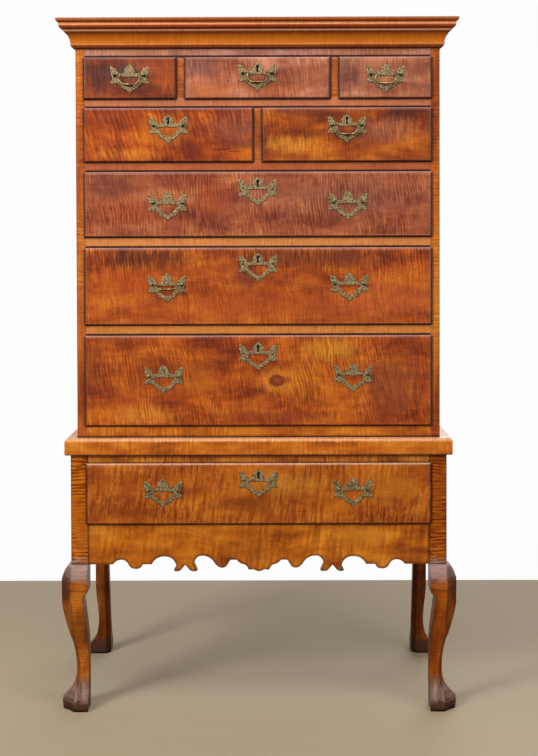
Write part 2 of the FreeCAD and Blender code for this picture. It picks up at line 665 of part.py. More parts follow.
def keyhole(x, y, z, depth):
    """Round head over a slot that widens a little; z is the middle of the head."""
    across = Vector(1, 0, 0)
    head = Part.Face(closed(polygon(KEYHOLE_RADIUS, 8, Vector(x, y, z), across, Vector(0, 0, 1))))
    foot_z = z - KEYHOLE_LENGTH + KEYHOLE_RADIUS
    half = KEYHOLE_RADIUS * 0.7
    corners = [Vector(x - half / 2, y, z), Vector(x + half / 2, y, z), Vector(x + half, y, foot_z),
               Vector(x - half, y, foot_z), Vector(x - half / 2, y, z)]
    slot = Part.Face(Part.makePolygon(corners))
    return head.extrude(Vector(0, depth, 0)).fuse(slot.extrude(Vector(0, depth, 0)))


def plate(x, z, field_y, keyed, has_posts):
    """Flat pierced plate against a drawer's face."""
    y = field_y - PLATE_THICKNESS
    depth = Vector(0, PLATE_THICKNESS, 0)
    solid = closed_halves(PLATE_HALF, x, y, z).extrude(depth)
    cuts = [closed_halves(PIERCING_HALF, x, y, z).extrude(depth)]
    if keyed:
        cuts.append(keyhole(x, y, z + KEYHOLE_RISE + KEYHOLE_RADIUS, PLATE_THICKNESS))
    if has_posts:
        cuts += [square_bar(SHANK + 2 * SHANK_CLEARANCE, x + side * POST_SPACING / 2, z, y, field_y)
                 for side in (-1, 1)]
    return solid.cut(cuts)


def hinge_y(field_y):
    return field_y - PLATE_THICKNESS - HINGE_REACH


def pull_post(x, z, drawer, inward, has_bail):
    """Turned post with a ball, and its square shank through the drawer front.

    inward is the direction along X in which its bail lies; the ball has a socket for the bail's pin.
    """
    plate_y = drawer.field_y() - PLATE_THICKNESS
    ball_y = hinge_y(drawer.field_y())
    rings = (
        (plate_y, HEAD_RADIUS), (plate_y - FLANGE, NECK_RADIUS),
        (ball_y, HEAD_RADIUS), (ball_y - HEAD_RADIUS, HEAD_RADIUS / 2),
    )
    post = faceted([polygon(radius, 6, Vector(x, y, z), Vector(1, 0, 0), Vector(0, 0, 1))
                    for y, radius in rings])
    post = post.fuse(square_bar(SHANK, x, z, plate_y, drawer.inner_y()))
    if not has_bail:
        return post
    # The socket's flats clear the round pin all the way round.
    socket = (BAIL_PIN + PIN_CLEARANCE) / math.cos(math.pi / SOCKET_SIDES)
    ends = (x + inward * (HEAD_RADIUS - PIN_DEPTH - PIN_CLEARANCE), x + 2 * inward * HEAD_RADIUS)
    return post.cut(faceted([polygon(socket, SOCKET_SIDES, Vector(end, ball_y, z), Vector(0, 1, 0),
                                     Vector(0, 0, 1)) for end in ends]))


def nut(x, z, drawer):
    """Square nut that closes the shank on the inside of the drawer front."""
    return square_bar(NUT_SIDE, x, z, drawer.inner_y(), drawer.inner_y() + NUT_THICKNESS)


def lock(x, z, drawer):
    """Lock case on the inside of the front, under its upper edge."""
    top = drawer.high - TOP_CLEARANCE - LOCK_DROP
    low = min(top - LOCK_HEIGHT, z)
    return block(x - LOCK_WIDTH / 2, x + LOCK_WIDTH / 2, drawer.inner_y(), drawer.inner_y() + LOCK_DEPTH,
                 low, top)


def drawer_brasses(drawer):
    """Plates, posts, nuts, pins and lock of one drawer, each a solid of its own."""
    solids = []
    with_bail = {x for x, _, _, state in drawer.pulls if state is not None}
    face_y = drawer.field_y() - PLATE_THICKNESS
    for x, z, keyed, has_posts in drawer.plates():
        solids.append(plate(x, z, drawer.field_y(), keyed, has_posts))
        for side in (-1, 1):
            post_x = x + side * POST_SPACING / 2
            if has_posts:
                solids.append(pull_post(post_x, z, drawer, -side, x in with_bail))
                solids.append(nut(post_x, z, drawer))
            else:
                solids.append(square_bar(2 * PIN_BOSS_RADIUS, post_x, z, face_y - PIN_BOSS_HEIGHT, face_y))
        if keyed:
            solids.append(lock(x, z, drawer))
    return group(solids)


def bail_path(shoulder):
    """Corners of the bail's middle line, from its left shoulder to its right one."""
    arm = BAIL_HALF_WIDTH
    bend = shoulder - arm

    def quarter(x, z, radius, first):
        """Points of a quarter turn about x and z, from the angle first, in degrees."""
        angles = [math.radians(first + 90 * step / BEND_STEPS) for step in range(BEND_STEPS + 1)]
        return [(x + radius * math.cos(angle), z + radius * math.sin(angle)) for angle in angles]

    corner = quarter(arm - BAIL_CORNER, -BAIL_DROP + BAIL_CORNER, BAIL_CORNER, -90)
    top = quarter(arm + bend, -bend, bend, 90)
    right = corner + top[::-1]
    left = [(-x, z) for x, z in reversed(right)]
    return [Vector(x, 0, z) for x, z in left + right]


def bail():
    """Drop handle, hanging from the origin: a grip with rounded corners and a pin at each end."""
    ball_edge = POST_SPACING / 2 - HEAD_RADIUS
    shoulder = ball_edge - SEAT
    path = bail_path(shoulder)
    lengths = [(end - start).normalize() for start, end in zip(path, path[1:])]
    rings = []
    for place, before, after in zip(path, lengths[:1] + lengths, lengths + lengths[-1:]):
        # A mitred joint is wider across than the rod, by the turn that the rod takes there.
        middle = (before + after).normalize()
        across = Vector(0, 1, 0).cross(middle) * (1 / before.dot(middle))
        rings.append(polygon(BAIL_ROD, 6, place, across, Vector(0, 1, 0)))
    grip = faceted(rings)
    pins = [rod(BAIL_PIN, Vector(side * shoulder, 0, 0), Vector(side, 0, 0),
                ball_edge + PIN_DEPTH - shoulder) for side in (-1, 1)]
    return grip.fuse(pins)


def bails(drawers):
    """One node for each bail that is still there."""
    nodes = {}
    for drawer in drawers:
        for x, rise, _, state in drawer.pulls:
            if state is None:
                continue
            handle = bail()
            if state == "raised":
                handle.rotate(Vector(0, 0, 0), Vector(1, 0, 0), -RAISED_BAIL)
            handle.translate(Vector(x, hinge_y(drawer.field_y()), drawer.low + rise))
            nodes["bail_" + drawer.name] = handle
    return nodes


# ---- assembly ---------------------------------------------------------------------------------
def build():
    drawers = all_drawers()
    nodes = {}
    nodes.update(legs())
    nodes.update(stand_frame())
    nodes.update(waist_moulding())
    nodes.update(case_shell())
    nodes.update(case_rails())
    nodes.update(dividers())
    nodes.update(cornice())
    nodes["back_boards"] = back_boards()
    nodes["drawer_runners"] = group(case_runners() + stand_runners())
    for drawer in drawers:
        nodes["front_" + drawer.name] = drawer_front(drawer)
        nodes["box_" + drawer.name] = drawer_box(drawer)
        nodes["brasses_" + drawer.name] = drawer_brasses(drawer)
    nodes.update(bails(drawers))
    return nodes


os.makedirs("parts", exist_ok=True)
for node_name, node_shape in build().items():
    node_shape.exportStep("parts/" + node_name + ".step")
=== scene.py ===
import json
import math

import bpy
from mathutils import Euler, Matrix, Vector


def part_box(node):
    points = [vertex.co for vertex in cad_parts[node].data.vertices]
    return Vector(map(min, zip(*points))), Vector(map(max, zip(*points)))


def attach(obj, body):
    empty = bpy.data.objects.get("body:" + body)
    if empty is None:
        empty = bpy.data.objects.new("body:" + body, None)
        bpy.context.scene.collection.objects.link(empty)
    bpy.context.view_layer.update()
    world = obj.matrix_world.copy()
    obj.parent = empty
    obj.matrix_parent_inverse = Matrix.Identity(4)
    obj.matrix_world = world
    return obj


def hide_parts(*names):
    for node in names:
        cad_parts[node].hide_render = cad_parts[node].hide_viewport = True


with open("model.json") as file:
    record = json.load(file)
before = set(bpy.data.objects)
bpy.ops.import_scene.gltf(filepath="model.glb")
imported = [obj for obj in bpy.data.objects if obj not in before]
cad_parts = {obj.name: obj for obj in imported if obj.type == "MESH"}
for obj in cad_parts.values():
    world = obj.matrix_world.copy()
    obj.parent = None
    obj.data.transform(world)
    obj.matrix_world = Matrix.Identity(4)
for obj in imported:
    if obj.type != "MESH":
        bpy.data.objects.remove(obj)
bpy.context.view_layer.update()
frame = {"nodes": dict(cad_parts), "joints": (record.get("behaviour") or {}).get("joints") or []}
nodes = frame["nodes"]

# ---- legs -------------------------------------------------------------------------------------
# Four legs of curly maple, each sawn with its post from one square stick; the front feet are carved
# into three toes on a pad.  Old shellac has turned the shafts red-brown, and the purple-grey of dust
# and polish on the knees and the feet is partly a painted sheen.
MM = 0.001
POST = 44.0
LEG_TOP = 377.5
# A rear foot kicks out past its post, and rail and back lie a little behind the posts' faces.
REAR_KICK = 22.0
SET_BACK = 1.0
STAND_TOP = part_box("stand_top_rail")[1].z / MM
STAND_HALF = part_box("leg_rear_right")[1].x / MM - REAR_KICK
FRONT_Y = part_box("stand_top_rail")[0].y / MM - SET_BACK
BACK_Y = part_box("stand_back")[1].y / MM + SET_BACK
INNER_EASE = 5.0
REAR_INNER_EASE = 12.0
ARRIS = 4.0
PAD_TOP = 23.0
TOE_TOP = 82.0

# Height, and how far the leg stands out beyond its post (outer) or back from its inside (inner).
FRONT_OUTER = ((0.0, 22.3), (PAD_TOP, 25.3), (28.0, 23.0), (41.0, 9.8), (55.0, -1.6), (75.0, -7.5),
               (98.0, -10.4), (122.0, -10.0), (148.0, -7.5), (174.0, -2.5), (197.0, 5.2), (223.0, 13.4),
               (250.0, 20.4), (278.0, 25.6), (296.0, 27.6), (315.0, 28.3), (336.0, 26.4), (354.0, 21.0),
               (366.0, 15.6), (375.0, 7.6), (LEG_TOP, 0.4))
FRONT_INNER = ((0.0, 0.8), (90.0, 0.0), (170.0, 0.8), (215.0, 3.7), (264.0, 8.9), (300.0, 12.0),
               (303.5, 9.0), (306.0, 2.6), (311.0, 0.3), (330.0, 0.0), (LEG_TOP, 0.0))
REAR_OUTER = ((0.0, 19.0), (PAD_TOP, 21.8), (33.0, 13.6), (48.0, 1.4), (72.0, -6.4), (98.0, -9.4),
              (133.0, -7.4), (180.0, -1.8), (224.0, 0.0), (LEG_TOP, 0.0))
REAR_INNER = ((0.0, 1.6), (PAD_TOP, 0.6), (90.0, 1.6), (160.0, 4.2), (230.0, 6.2), (350.0, 7.8),
              (365.5, 7.6), (371.0, 4.2), (LEG_TOP, 0.2))
# Height, and how much deeper than ARRIS the outer corner is cut away.
CORNER_CUT = ((0.0, 7.0), (45.0, 8.0), (78.0, 6.0), (105.0, 5.0), (150.0, 2.5), (240.0, 4.5), (300.0, 3.0),
              (350.0, 1.2), (LEG_TOP, 0.0))
# Carving of a foot: the side toe and the hollow beside it, as distance from the leg's inner corner,
# half width and rise, and the rise of the toe on the corner.  The pad keeps a faint trace of it.
TOES = ((9.0, 5.5, 3.2), (23.5, 5.5, -5.6))
CORNER_TOE = 3.4
TOES_FULL = 46.0
PAD_TRACE = 0.12
POST_ARRIS = 0.8
# Points along each side of a section; the carved outer faces need the most.
SIDE_POINTS = (26, 12, 26, 5, 3, 5)


def eased(knots, place):
    """Value at place of the smooth curve through knots."""
    at = max(index for index, knot in enumerate(knots[:-1]) if knot[0] <= place or index == 0)
    (x0, y0), (x1, y1) = knots[at], knots[at + 1]
    rise = (y1 - y0) / (x1 - x0)
    before = (y0 - knots[at - 1][1]) / (x0 - knots[at - 1][0]) if at else rise
    after = (knots[at + 2][1] - y1) / (knots[at + 2][0] - x1) if at + 2 < len(knots) else rise
    # A slope that turns at a knot is flat there, so the curve never swings past its knots.
    slope0 = 2 * before * rise / (before + rise) if before * rise > 0 else 0.0
    slope1 = 2 * after * rise / (after + rise) if after * rise > 0 else 0.0
    t = (place - x0) / (x1 - x0)
    run = x1 - x0
    return (y0 * (1 + 2 * t) * (1 - t) ** 2 + slope0 * run * t * (1 - t) ** 2
            + y1 * t * t * (3 - 2 * t) - slope1 * run * t * t * (1 - t))


def leg_section(height, outer, inner, ease, carved):
    """Points round a leg at one height, as pairs of distance outwards from the post's two faces."""
    below = height < LEG_TOP
    out = eased(outer, height) if below else 0.0
    back = -POST + (eased(inner, height) if below else 0.0)
    arris = -POST_ARRIS
    if below:
        arris = min(out - ARRIS, 0.0) - (eased(CORNER_CUT, height) if carved else 0.0)
    corners = [(back, out), (arris, out), (out, arris), (out, back), (back + ease, back),
               (back, back + ease)]
    # The toes fade into the ankle.
    widest = eased(outer, PAD_TOP)
    depth = 0.0
    if carved and height < TOE_TOP:
        depth = PAD_TRACE
        if height > PAD_TOP:
            depth = min((TOE_TOP - height) / (TOE_TOP - TOES_FULL), 1.0) ** 1.5
    points = []
    for side, count in enumerate(SIDE_POINTS):
        (u0, v0), (u1, v1) = corners[side], corners[(side + 1) % len(corners)]
        length = math.hypot(u1 - u0, v1 - v0) or 1.0
        normal = ((v0 - v1) / -length, (u0 - u1) / length)
        for step in range(count):
            t = step / count
            swell = 0.0
            if side == 1 and below:
                swell = (0.05 * length + depth * CORNER_TOE) * 4 * t * (1 - t)
            elif side in (0, 2):
                along = length * (t if side == 0 else 1 - t)
                swell = depth * sum(rise * math.exp(-((along - middle) / half) ** 2)
                                    for middle, half, rise in TOES) * min(along / 4.0, 1.0)
            points.append((min(u0 + (u1 - u0) * t + normal[0] * swell, widest),
                           min(v0 + (v1 - v0) * t + normal[1] * swell, widest)))
    return points


def lofted(name, rings):
    """Closed mesh through rings of points that all have the same number of points."""
    count = len(rings[0])
    faces = [list(range(count))[::-1], [len(rings) * count - count + index for index in range(count)]]
    for row in range(len(rings) - 1):
        for index in range(count):
            following = (index + 1) % count
            base = row * count
            faces.append((base + index, base + following, base + count + following, base + count + index))
    mesh = bpy.data.meshes.new(name)
    mesh.from_pydata([point for ring in rings for point in ring], [], faces)
    return mesh


def placed(name, data):
    """A new object in the scene."""
    made = bpy.data.objects.new(name, data)
    bpy.context.scene.collection.objects.link(made)
    return made


def piece(name, mesh, body, material, replaced=()):
    """Object of a finished mesh that rides on a body and takes its finish from a slot."""
    mesh.validate()
    mesh.materials.clear()
    mesh.materials.append(material)
    mesh.polygons.foreach_set("use_smooth", [True] * len(mesh.polygons))
    mesh.set_sharp_from_angle(angle=math.radians(38))
    made = placed(name, mesh)
    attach(made, body)
    if replaced:
        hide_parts(*replaced)
    return made


def linear(hex_colour):
    """Linear colour of an sRGB hex value."""
    channels = [int(hex_colour[start:start + 2], 16) / 255 for start in (1, 3, 5)]
    return [value / 12.92 if value <= 0.04045 else ((value + 0.055) / 1.055) ** 2.4
            for value in channels] + [1.0]


def add(tree, kind, settings, links=None):
    """A node with its settings and its links.

    A setting is an attribute or an input socket; a link comes from a socket, or from a node's first
    output that is in use.
    """
    node = tree.nodes.new("ShaderNode" + kind)
    for key, value in settings.items():
        if isinstance(key, str) and hasattr(node, key):
            setattr(node, key, value)
        else:
            node.inputs[key].default_value = value
    for key, source in (links or {}).items():
        outputs = getattr(source, "outputs", (source,))
        tree.links.new(next(output for output in outputs if output.enabled), node.inputs[key])
    return node


def new_material(name):
    """A new material with an empty tree, and the place on the object in millimetres."""
    material = bpy.data.materials.new(name)
    material.use_nodes = True
    tree = material.node_tree
    tree.nodes.clear()
    place = add(tree, "TexCoord", {})
    scaled = add(tree, "VectorMath", {"operation": "SCALE", "Scale": 1 / MM}, {0: place.outputs["Object"]})
    return material, tree, scaled


def lay_colours(ramp, *tones):
    """Lays colours along a ramp: pairs of place and sRGB value, from the lowest."""
    first, *between, last = tones
    for element, (place, tone) in zip(ramp.elements, (first, last)):
        element.position, element.color = place, linear(tone)
    for place, tone in between:
        ramp.elements.new(place).color = linear(tone)


def handled(tree, colour, arris, rubbing, worn_tone, corner, grime, dirt):
    """A colour after years of hands and dust, with painted highlight and shade, and which way it faces.

    Arrises are toned to worn_tone, paler by wear and painted highlight or darker as painted shade,
    and corners are filled with painted shade and dirt, each as far in as arris and corner say, in
    millimetres; rubbing and grime are the ranges from untouched to full.
    """
    facing = add(tree, "NewGeometry", {})
    rounded = add(tree, "Bevel", {"samples": 4, "Radius": arris * MM})
    sharpness = add(tree, "VectorMath", {"operation": "DOT_PRODUCT"},
                    {0: rounded, 1: facing.outputs["Normal"]})
    rubbed = add(tree, "MapRange", rubbing, {0: sharpness})
    paled = add(tree, "Mix", {"data_type": "RGBA", 7: linear(worn_tone)}, {0: rubbed, 6: colour})
    # Painted shade, and dirt, in the corners.
    corners = add(tree, "AmbientOcclusion", {"samples": 8, "Distance": corner * MM})
    filled = add(tree, "MapRange", grime, {0: corners.outputs["AO"]})
    soiled = add(tree, "Mix", {"data_type": "RGBA", 7: linear(dirt)}, {0: filled, 6: paled})
    return soiled, add(tree, "SeparateXYZ", {}, {0: facing.outputs["Normal"]})


def curly_maple(name, shade, body, glow, grain="X", curl=9.0, lean=0.0, figure=0.8, seed=0.0,
                regular=0.07, calm=None, marks=(), bands=(), veins=0.0, gloss=0.3, rubbed=0.4,
                worn_tone="#dba27c", edge=1.8, grimy=0.97, dust=0.4, sides=0.0, sheen=0.2, cloud=120):
    """Figured maple under old shellac: ripples across the grain, clouds, pores, dust and grime, and
    painted sheen and shade.

    Lengths are in millimetres.  curl is the spacing of the ripples, lean how they slant, regular how
    even and figure how strong they are; below calm's first height they fade, by its second, to its
    share.  cloud is how long the darker and lighter clouds are.  A mark is a spot: middle and half
    size along X and Z, colour, strength and, if it isn't soft, the share of it that is plain.  Bands
    are heights, from the lowest, with a colour each.  Veins are golden lines where the fibres turn.
    Arrises are paled by wear and painted highlight, or darkened as painted shade, to worn_tone over
    edge; grimy, dust and sides are how much painted shade and grime fill the
    corners, how much dust and painted sheen lie on the tops and how much painted shade darkens the
    flanks; gloss is the roughness of the shellac, sheen its shine.
    """
    material, tree, scaled = new_material(name)
    axes = add(tree, "SeparateXYZ", {}, {0: scaled})
    first, second = {"X": ("Z", "Y"), "Y": ("Z", "X"), "Z": ("X", "Y")}[grain]
    board = add(tree, "CombineXYZ", {},
                {0: axes.outputs[grain], 1: axes.outputs[first], 2: axes.outputs[second]})
    plank = add(tree, "VectorMath", {"operation": "ADD", 1: (seed * 731, seed * 377, seed * 157)},
                {0: board})

    # Slow bends of the grain, up to 20 mm to either side.
    bends = add(tree, "TexNoise", {"Scale": 1 / 130, "Detail": 2.0, "Roughness": 0.5}, {"Vector": plank})
    bent = add(tree, "VectorMath", {"operation": "MULTIPLY_ADD", 1: (26.0, 40.0, 0.0),
                                    2: (-13.0, -20.0, 0.0)},
               {0: bends.outputs["Color"]})
    wood = add(tree, "VectorMath", {"operation": "ADD"}, {0: plank, 1: bent})
    parts = add(tree, "SeparateXYZ", {}, {0: wood})

    # The curl: waves of the fibres that cross the board, broken up every 30 to 60 mm, with finer
    # ripples between them.
    slanted = add(tree, "Math", {"operation": "MULTIPLY_ADD", 1: lean},
                  {0: parts.outputs["Y"], 2: parts.outputs["X"]})
    waves = add(tree, "Math", {"operation": "MULTIPLY", 1: math.tau / curl}, {0: slanted})
    break_scale = add(tree, "VectorMath", {"operation": "MULTIPLY", 1: (1 / 30, 1 / 62, 1 / 62)},
                      {0: plank})
    breaks = add(tree, "TexNoise", {"Scale": 1.0, "Detail": 2.0}, {"Vector": break_scale})
    shifts = add(tree, "Math", {"operation": "MULTIPLY_ADD", 1: 7.0}, {0: breaks, 2: waves})
    crests = add(tree, "Math", {"operation": "SINE"}, {0: shifts})
    across = add(tree, "CombineXYZ", {}, {0: slanted, 1: parts.outputs["Y"], 2: parts.outputs["Z"]})
    ripple_scale = add(tree, "VectorMath", {"operation": "MULTIPLY",
                                            1: (1.5 / curl, 1 / (curl * 5), 1 / (curl * 5))},
                       {0: across})
    ripples = add(tree, "TexNoise", {"Scale": 1.0, "Detail": 2.5, "Roughness": 0.6},
                  {"Vector": ripple_scale})
    folds = add(tree, "Math", {"operation": "MULTIPLY_ADD", 1: regular}, {0: crests, 2: ripples})
    curls = add(tree, "MapRange", {"interpolation_type": "SMOOTHSTEP", 1: 0.34, 2: 0.68}, {0: folds})
    where = add(tree, "TexNoise", {"Scale": 1 / 90, "Detail": 3.0, "Roughness": 0.6}, {"Vector": plank})
    strength = add(tree, "MapRange", {"interpolation_type": "SMOOTHSTEP", 1: 0.36, 2: 0.62,
                                      3: figure * 0.25, 4: figure},
                   {0: where})
    if calm:
        plain_from, plain_by, share = calm
        fading = add(tree, "MapRange", {1: plain_by, 2: plain_from, 3: share, 4: 1.0},
                     {0: axes.outputs["Z"]})
        strength = add(tree, "Math", {"operation": "MULTIPLY"}, {0: strength, 1: fading})

    # Clouds of darker and lighter wood, drawn out along the grain.
    cloud_scale = add(tree, "VectorMath", {"operation": "MULTIPLY", 1: (1 / cloud, 1 / 55, 1 / 55)},
                      {0: wood})
    clouds = add(tree, "TexNoise", {"Scale": 1.0, "Detail": 5.0, "Roughness": 0.6},
                 {"Vector": cloud_scale})
    tones = add(tree, "ValToRGB", {}, {0: clouds})
    lay_colours(tones.color_ramp, (0.34, shade), (0.5, body), (0.66, glow))
    colour = tones

    # Spots fray out along the ripples, not in round clouds.
    fray = (1 / 42, 1 / 9, 1 / 9) if grain == "Z" else (1 / 9, 1 / 9, 1 / 42)
    fray_scale = add(tree, "VectorMath", {"operation": "MULTIPLY", 1: fray}, {0: scaled})
    ragged = add(tree, "TexNoise", {"Scale": 1.0, "Detail": 3.0, "Roughness": 0.6}, {"Vector": fray_scale})
    if bands:
        low, high = bands[0][0], bands[-1][0]
        height = add(tree, "MapRange", {1: low, 2: high}, {0: axes.outputs["Z"]})
        layers = add(tree, "ValToRGB", {}, {0: height})
        lay_colours(layers.color_ramp, *(((level - low) / (high - low), tone) for level, tone in bands))
        banded = add(tree, "Mix", {"data_type": "RGBA", 0: 0.85}, {6: colour, 7: layers})
        colour = banded
    for x, z, half_x, half_z, tone, weight, *crisp in marks:
        plain = crisp[0] if crisp else 0.2
        stray = 2.0 * (1 - plain)
        roughened = add(tree, "VectorMath", {"operation": "MULTIPLY_ADD", 1: (stray, 0.0, stray),
                                             2: (-stray / 2 - x / half_x, 0.0, -stray / 2 - z / half_z)},
                        {0: ragged.outputs["Color"]})
        reach = add(tree, "VectorMath", {"operation": "MULTIPLY_ADD", 1: (1 / half_x, 0.0, 1 / half_z)},
                    {0: scaled, 2: roughened})
        far = add(tree, "VectorMath", {"operation": "LENGTH"}, {0: reach})
        soft = add(tree, "MapRange", {"interpolation_type": "SMOOTHSTEP", 1: 1.15, 2: plain, 3: 0.0,
                                      4: weight},
                   {0: far})
        tinted = add(tree, "Mix", {"data_type": "RGBA", 7: linear(tone)}, {0: soft, 6: colour})
        colour = tinted

    # One flank of a ripple swallows light and turns red-brown, the other throws it back.
    flanks = add(tree, "Mix", {"data_type": "RGBA", 6: (0.5, 0.34, 0.24, 1), 7: (1.38, 1.5, 1.4, 1)},
                 {0: curls})
    tint = add(tree, "Mix", {"data_type": "RGBA", 6: (1, 1, 1, 1)}, {0: strength, 7: flanks})
    figured = add(tree, "VectorMath", {"operation": "MULTIPLY"}, {0: colour, 1: tint})
    if veins:
        middling = add(tree, "Math", {"operation": "SUBTRACT", 1: 0.52}, {0: ripples})
        crossing = add(tree, "Math", {"operation": "ABSOLUTE"}, {0: middling})
        lines = add(tree, "MapRange", {1: 0.0, 2: 0.045, 3: veins, 4: 0.0}, {0: crossing})
        wherever = add(tree, "MapRange", {"interpolation_type": "SMOOTHSTEP", 1: 0.4, 2: 0.56}, {0: where})
        patchy = add(tree, "Math", {"operation": "MULTIPLY"}, {0: lines, 1: wherever})
        figured = add(tree, "Mix", {"data_type": "RGBA", 7: linear("#c47c28")}, {0: patchy, 6: figured})

    # Pores: real ones are hair thin, drawn here as 2.5 mm streaks so that they show.
    pore_scale = add(tree, "VectorMath", {"operation": "MULTIPLY", 1: (1 / 45, 1 / 2.5, 1 / 2.5)},
                     {0: wood})
    pores = add(tree, "TexNoise", {"Scale": 1.0, "Detail": 3.0, "Roughness": 0.6}, {"Vector": pore_scale})
    streaks = add(tree, "MapRange", {1: 0.3, 2: 0.7, 3: 0.84, 4: 1.12}, {0: pores})
    grained = add(tree, "VectorMath", {"operation": "MULTIPLY"}, {0: figured, 1: streaks})

    # Arrises are paled or darkened, painted shade and grime fill corners, painted shade lies on what
    # faces downwards and on the flanks, and dust and old wax with a painted sheen lie on what faces
    # upwards.
    soiled, upward = handled(tree, grained, edge, {1: 0.985, 2: 0.9, 3: 0.0, 4: rubbed}, worn_tone,
                             12.0, {1: 0.65, 2: 0.8, 3: grimy, 4: 0.0}, "#1c0803")
    beneath = add(tree, "MapRange", {1: -0.15, 2: -0.9, 3: 0.0, 4: max(0.72, sides * 1.3)},
                  {0: upward.outputs["Z"]})
    if sides:
        sideways = add(tree, "Math", {"operation": "ABSOLUTE"}, {0: upward.outputs["X"]})
        flank = add(tree, "MapRange", {1: 0.25, 2: 0.85, 3: 0.0, 4: sides}, {0: sideways})
        beneath = add(tree, "Math", {"operation": "MAXIMUM"}, {0: beneath, 1: flank})
    shaded = add(tree, "Mix", {"data_type": "RGBA", 7: linear("#2c0e04")}, {0: beneath, 6: soiled})
    settled = add(tree, "MapRange", {"interpolation_type": "SMOOTHSTEP", 1: 0.2, 2: 0.9, 3: 0.0, 4: dust},
                  {0: upward.outputs["Z"]})
    dusted = add(tree, "Mix", {"data_type": "RGBA", 7: linear("#b89c94")}, {0: settled, 6: shaded})

    # Shellac is worn unevenly, so the gloss comes in patches.
    worn = add(tree, "TexNoise", {"Scale": 1 / 60, "Detail": 4.0, "Roughness": 0.65}, {"Vector": scaled})
    rough = add(tree, "MapRange", {1: 0.3, 2: 0.7, 3: gloss - 0.07, 4: gloss + 0.14}, {0: worn})
    relief = add(tree, "Bump", {"Strength": 0.16, "Distance": 0.0006}, {"Height": folds})
    surface = add(tree, "BsdfPrincipled", {"IOR": 1.5, "Specular IOR Level": sheen},
                  {"Base Color": dusted, "Roughness": rough, "Normal": relief})
    add(tree, "OutputMaterial", {}, {0: surface})
    return material


def leg(side, end):
    """One leg with its post: side is 1 on the right, end is -1 in front and 1 at the back."""
    front = end < 0
    outer, inner = (FRONT_OUTER, FRONT_INNER) if front else (REAR_OUTER, REAR_INNER)
    ease = INNER_EASE if front else REAR_INNER_EASE
    name = "leg_" + ("front_" if front else "rear_") + ("right" if side > 0 else "left")
    # The post's outer corner is where the leg's curves are measured from.
    corner_x = side * STAND_HALF
    corner_y = FRONT_Y if front else BACK_Y
    # Sections lie close where the pad, the toes and the knee turn sharply.
    heights = [0.0, 1.0, 6.0, 14.0, PAD_TOP - 1.0, PAD_TOP, PAD_TOP + 0.8]
    heights += [PAD_TOP + 2.5 * step for step in range(1, 24)]
    heights += [TOE_TOP + 4.0 + 6.0 * step for step in range(37)]
    heights += [300.0, 301.5, 303.0, 304.5, 306.0, 308.0, 311.0, 318.0, 326.0, 334.0, 342.0, 350.0, 357.0,
                363.0, 368.0, 371.5, 374.0, 375.5, 376.6, LEG_TOP - 0.1, LEG_TOP, STAND_TOP]
    rings = []
    for height in sorted(set(heights)):
        ring = [((corner_x + side * u) * MM, (corner_y + end * v) * MM, height * MM)
                for u, v in leg_section(height, outer, inner, ease, front)]
        rings.append(ring if side * end < 0 else ring[::-1])
    return name, lofted(name + "_sawn", rings)


# Half width of a mark that runs right across a piece.
ACROSS = 5000
# Painted sheen of the polish on the knees, and painted sheen with dust on the toes.
GREY_POLISH = "#93786f"
GREY_FOOT = "#6a5044"
DARK_FOOT = "#463027"
# The two sides were sawn from different planks, the left one a little more golden.
POST_GOLD = {1: "#8e440c", -1: "#aa580e"}
FRONT_TONES = {1: ("#57270c", "#8b4210", "#ab5b17"), -1: ("#5c2e10", "#914c16", "#b26620")}
REAR_TONES = ("#46200c", "#6e340e", "#8c4c18")


def front_leg_marks(side):
    """Tones, painted sheen, painted shade and painted highlights on a front leg, from the top down."""
    corner = side * STAND_HALF
    post, knee = (0, 540, ACROSS, 190, POST_GOLD[side], 0.9), (0, 364, ACROSS, 30, GREY_POLISH, 0.9, 0.4)
    below_knee = [(0, 326, ACROSS, 9, "#a4541a", 0.5, 0.3), (0, 314, ACROSS, 3.4, "#4e2410", 0.45, 0.4),
                  (corner + side * 25.5, 316, 26, 44, "#4e2e24", 0.8, 0.4)]
    foot, pad = (0, 42, ACROSS, 40, GREY_FOOT, 0.85, 0.5), (0, 6, ACROSS, 24, DARK_FOOT, 0.95)
    # Painted shade in the hollow of the foot, and painted highlights on the crests of the side toe and
    # the corner toe.
    toes = [(corner - side * 20.5, 44, 3.4, 30, "#2a1a13", 0.8, 0.3),
            (corner - side * 30, 52, 5, 24, "#a0806e", 0.6, 0.3),
            (corner - side * 8, 50, 5, 24, "#94705e", 0.5, 0.3)]
    return [post, knee, *below_knee, foot, pad, *toes]


for side in (1, -1):
    for end in (-1, 1):
        front = end < 0
        leg_name, leg_mesh = leg(side, end)
        # The dark arrises and the darkened flanks are painted shade.
        wood = curly_maple(leg_name + "_maple", *(FRONT_TONES[side] if front else REAR_TONES), grain="Z",
                           curl=9, figure=1.2, regular=0.11, calm=(LEG_TOP + 6.5, LEG_TOP - 3.5, 0.2),
                           seed=2.0 + side + end * 0.3, rubbed=0.9, worn_tone="#35180c", edge=4.0,
                           dust=0.25, sides=0.5, sheen=0.06,
                           marks=front_leg_marks(side) if front
                           else [(0, 14, ACROSS, 34, DARK_FOOT, 0.9, 0.4)])
        piece(leg_name + "_sawn", leg_mesh, "root", wood, (leg_name,))

# ---- stand boards -----------------------------------------------------------------------------
# Boards tenoned between the posts: the scroll-sawn apron, the rail over the drawer and the arched
# sides are curly maple, the back is plain pine.
#
# The hooked tips of the apron's scroll are darkened.
HOOK_HEIGHT = 360
HOOKS = (-217, -159, 159, 217)


def finish(node, material):
    """The finish of a piece whose shape is the CAD's own."""
    mesh = nodes[node].data
    mesh.materials.clear()
    mesh.materials.append(material)


def maple_board(node, *tones, **figure):
    """Curly maple on a piece whose shape is the CAD's own."""
    finish(node, curly_maple(node + "_maple", *tones, **figure))
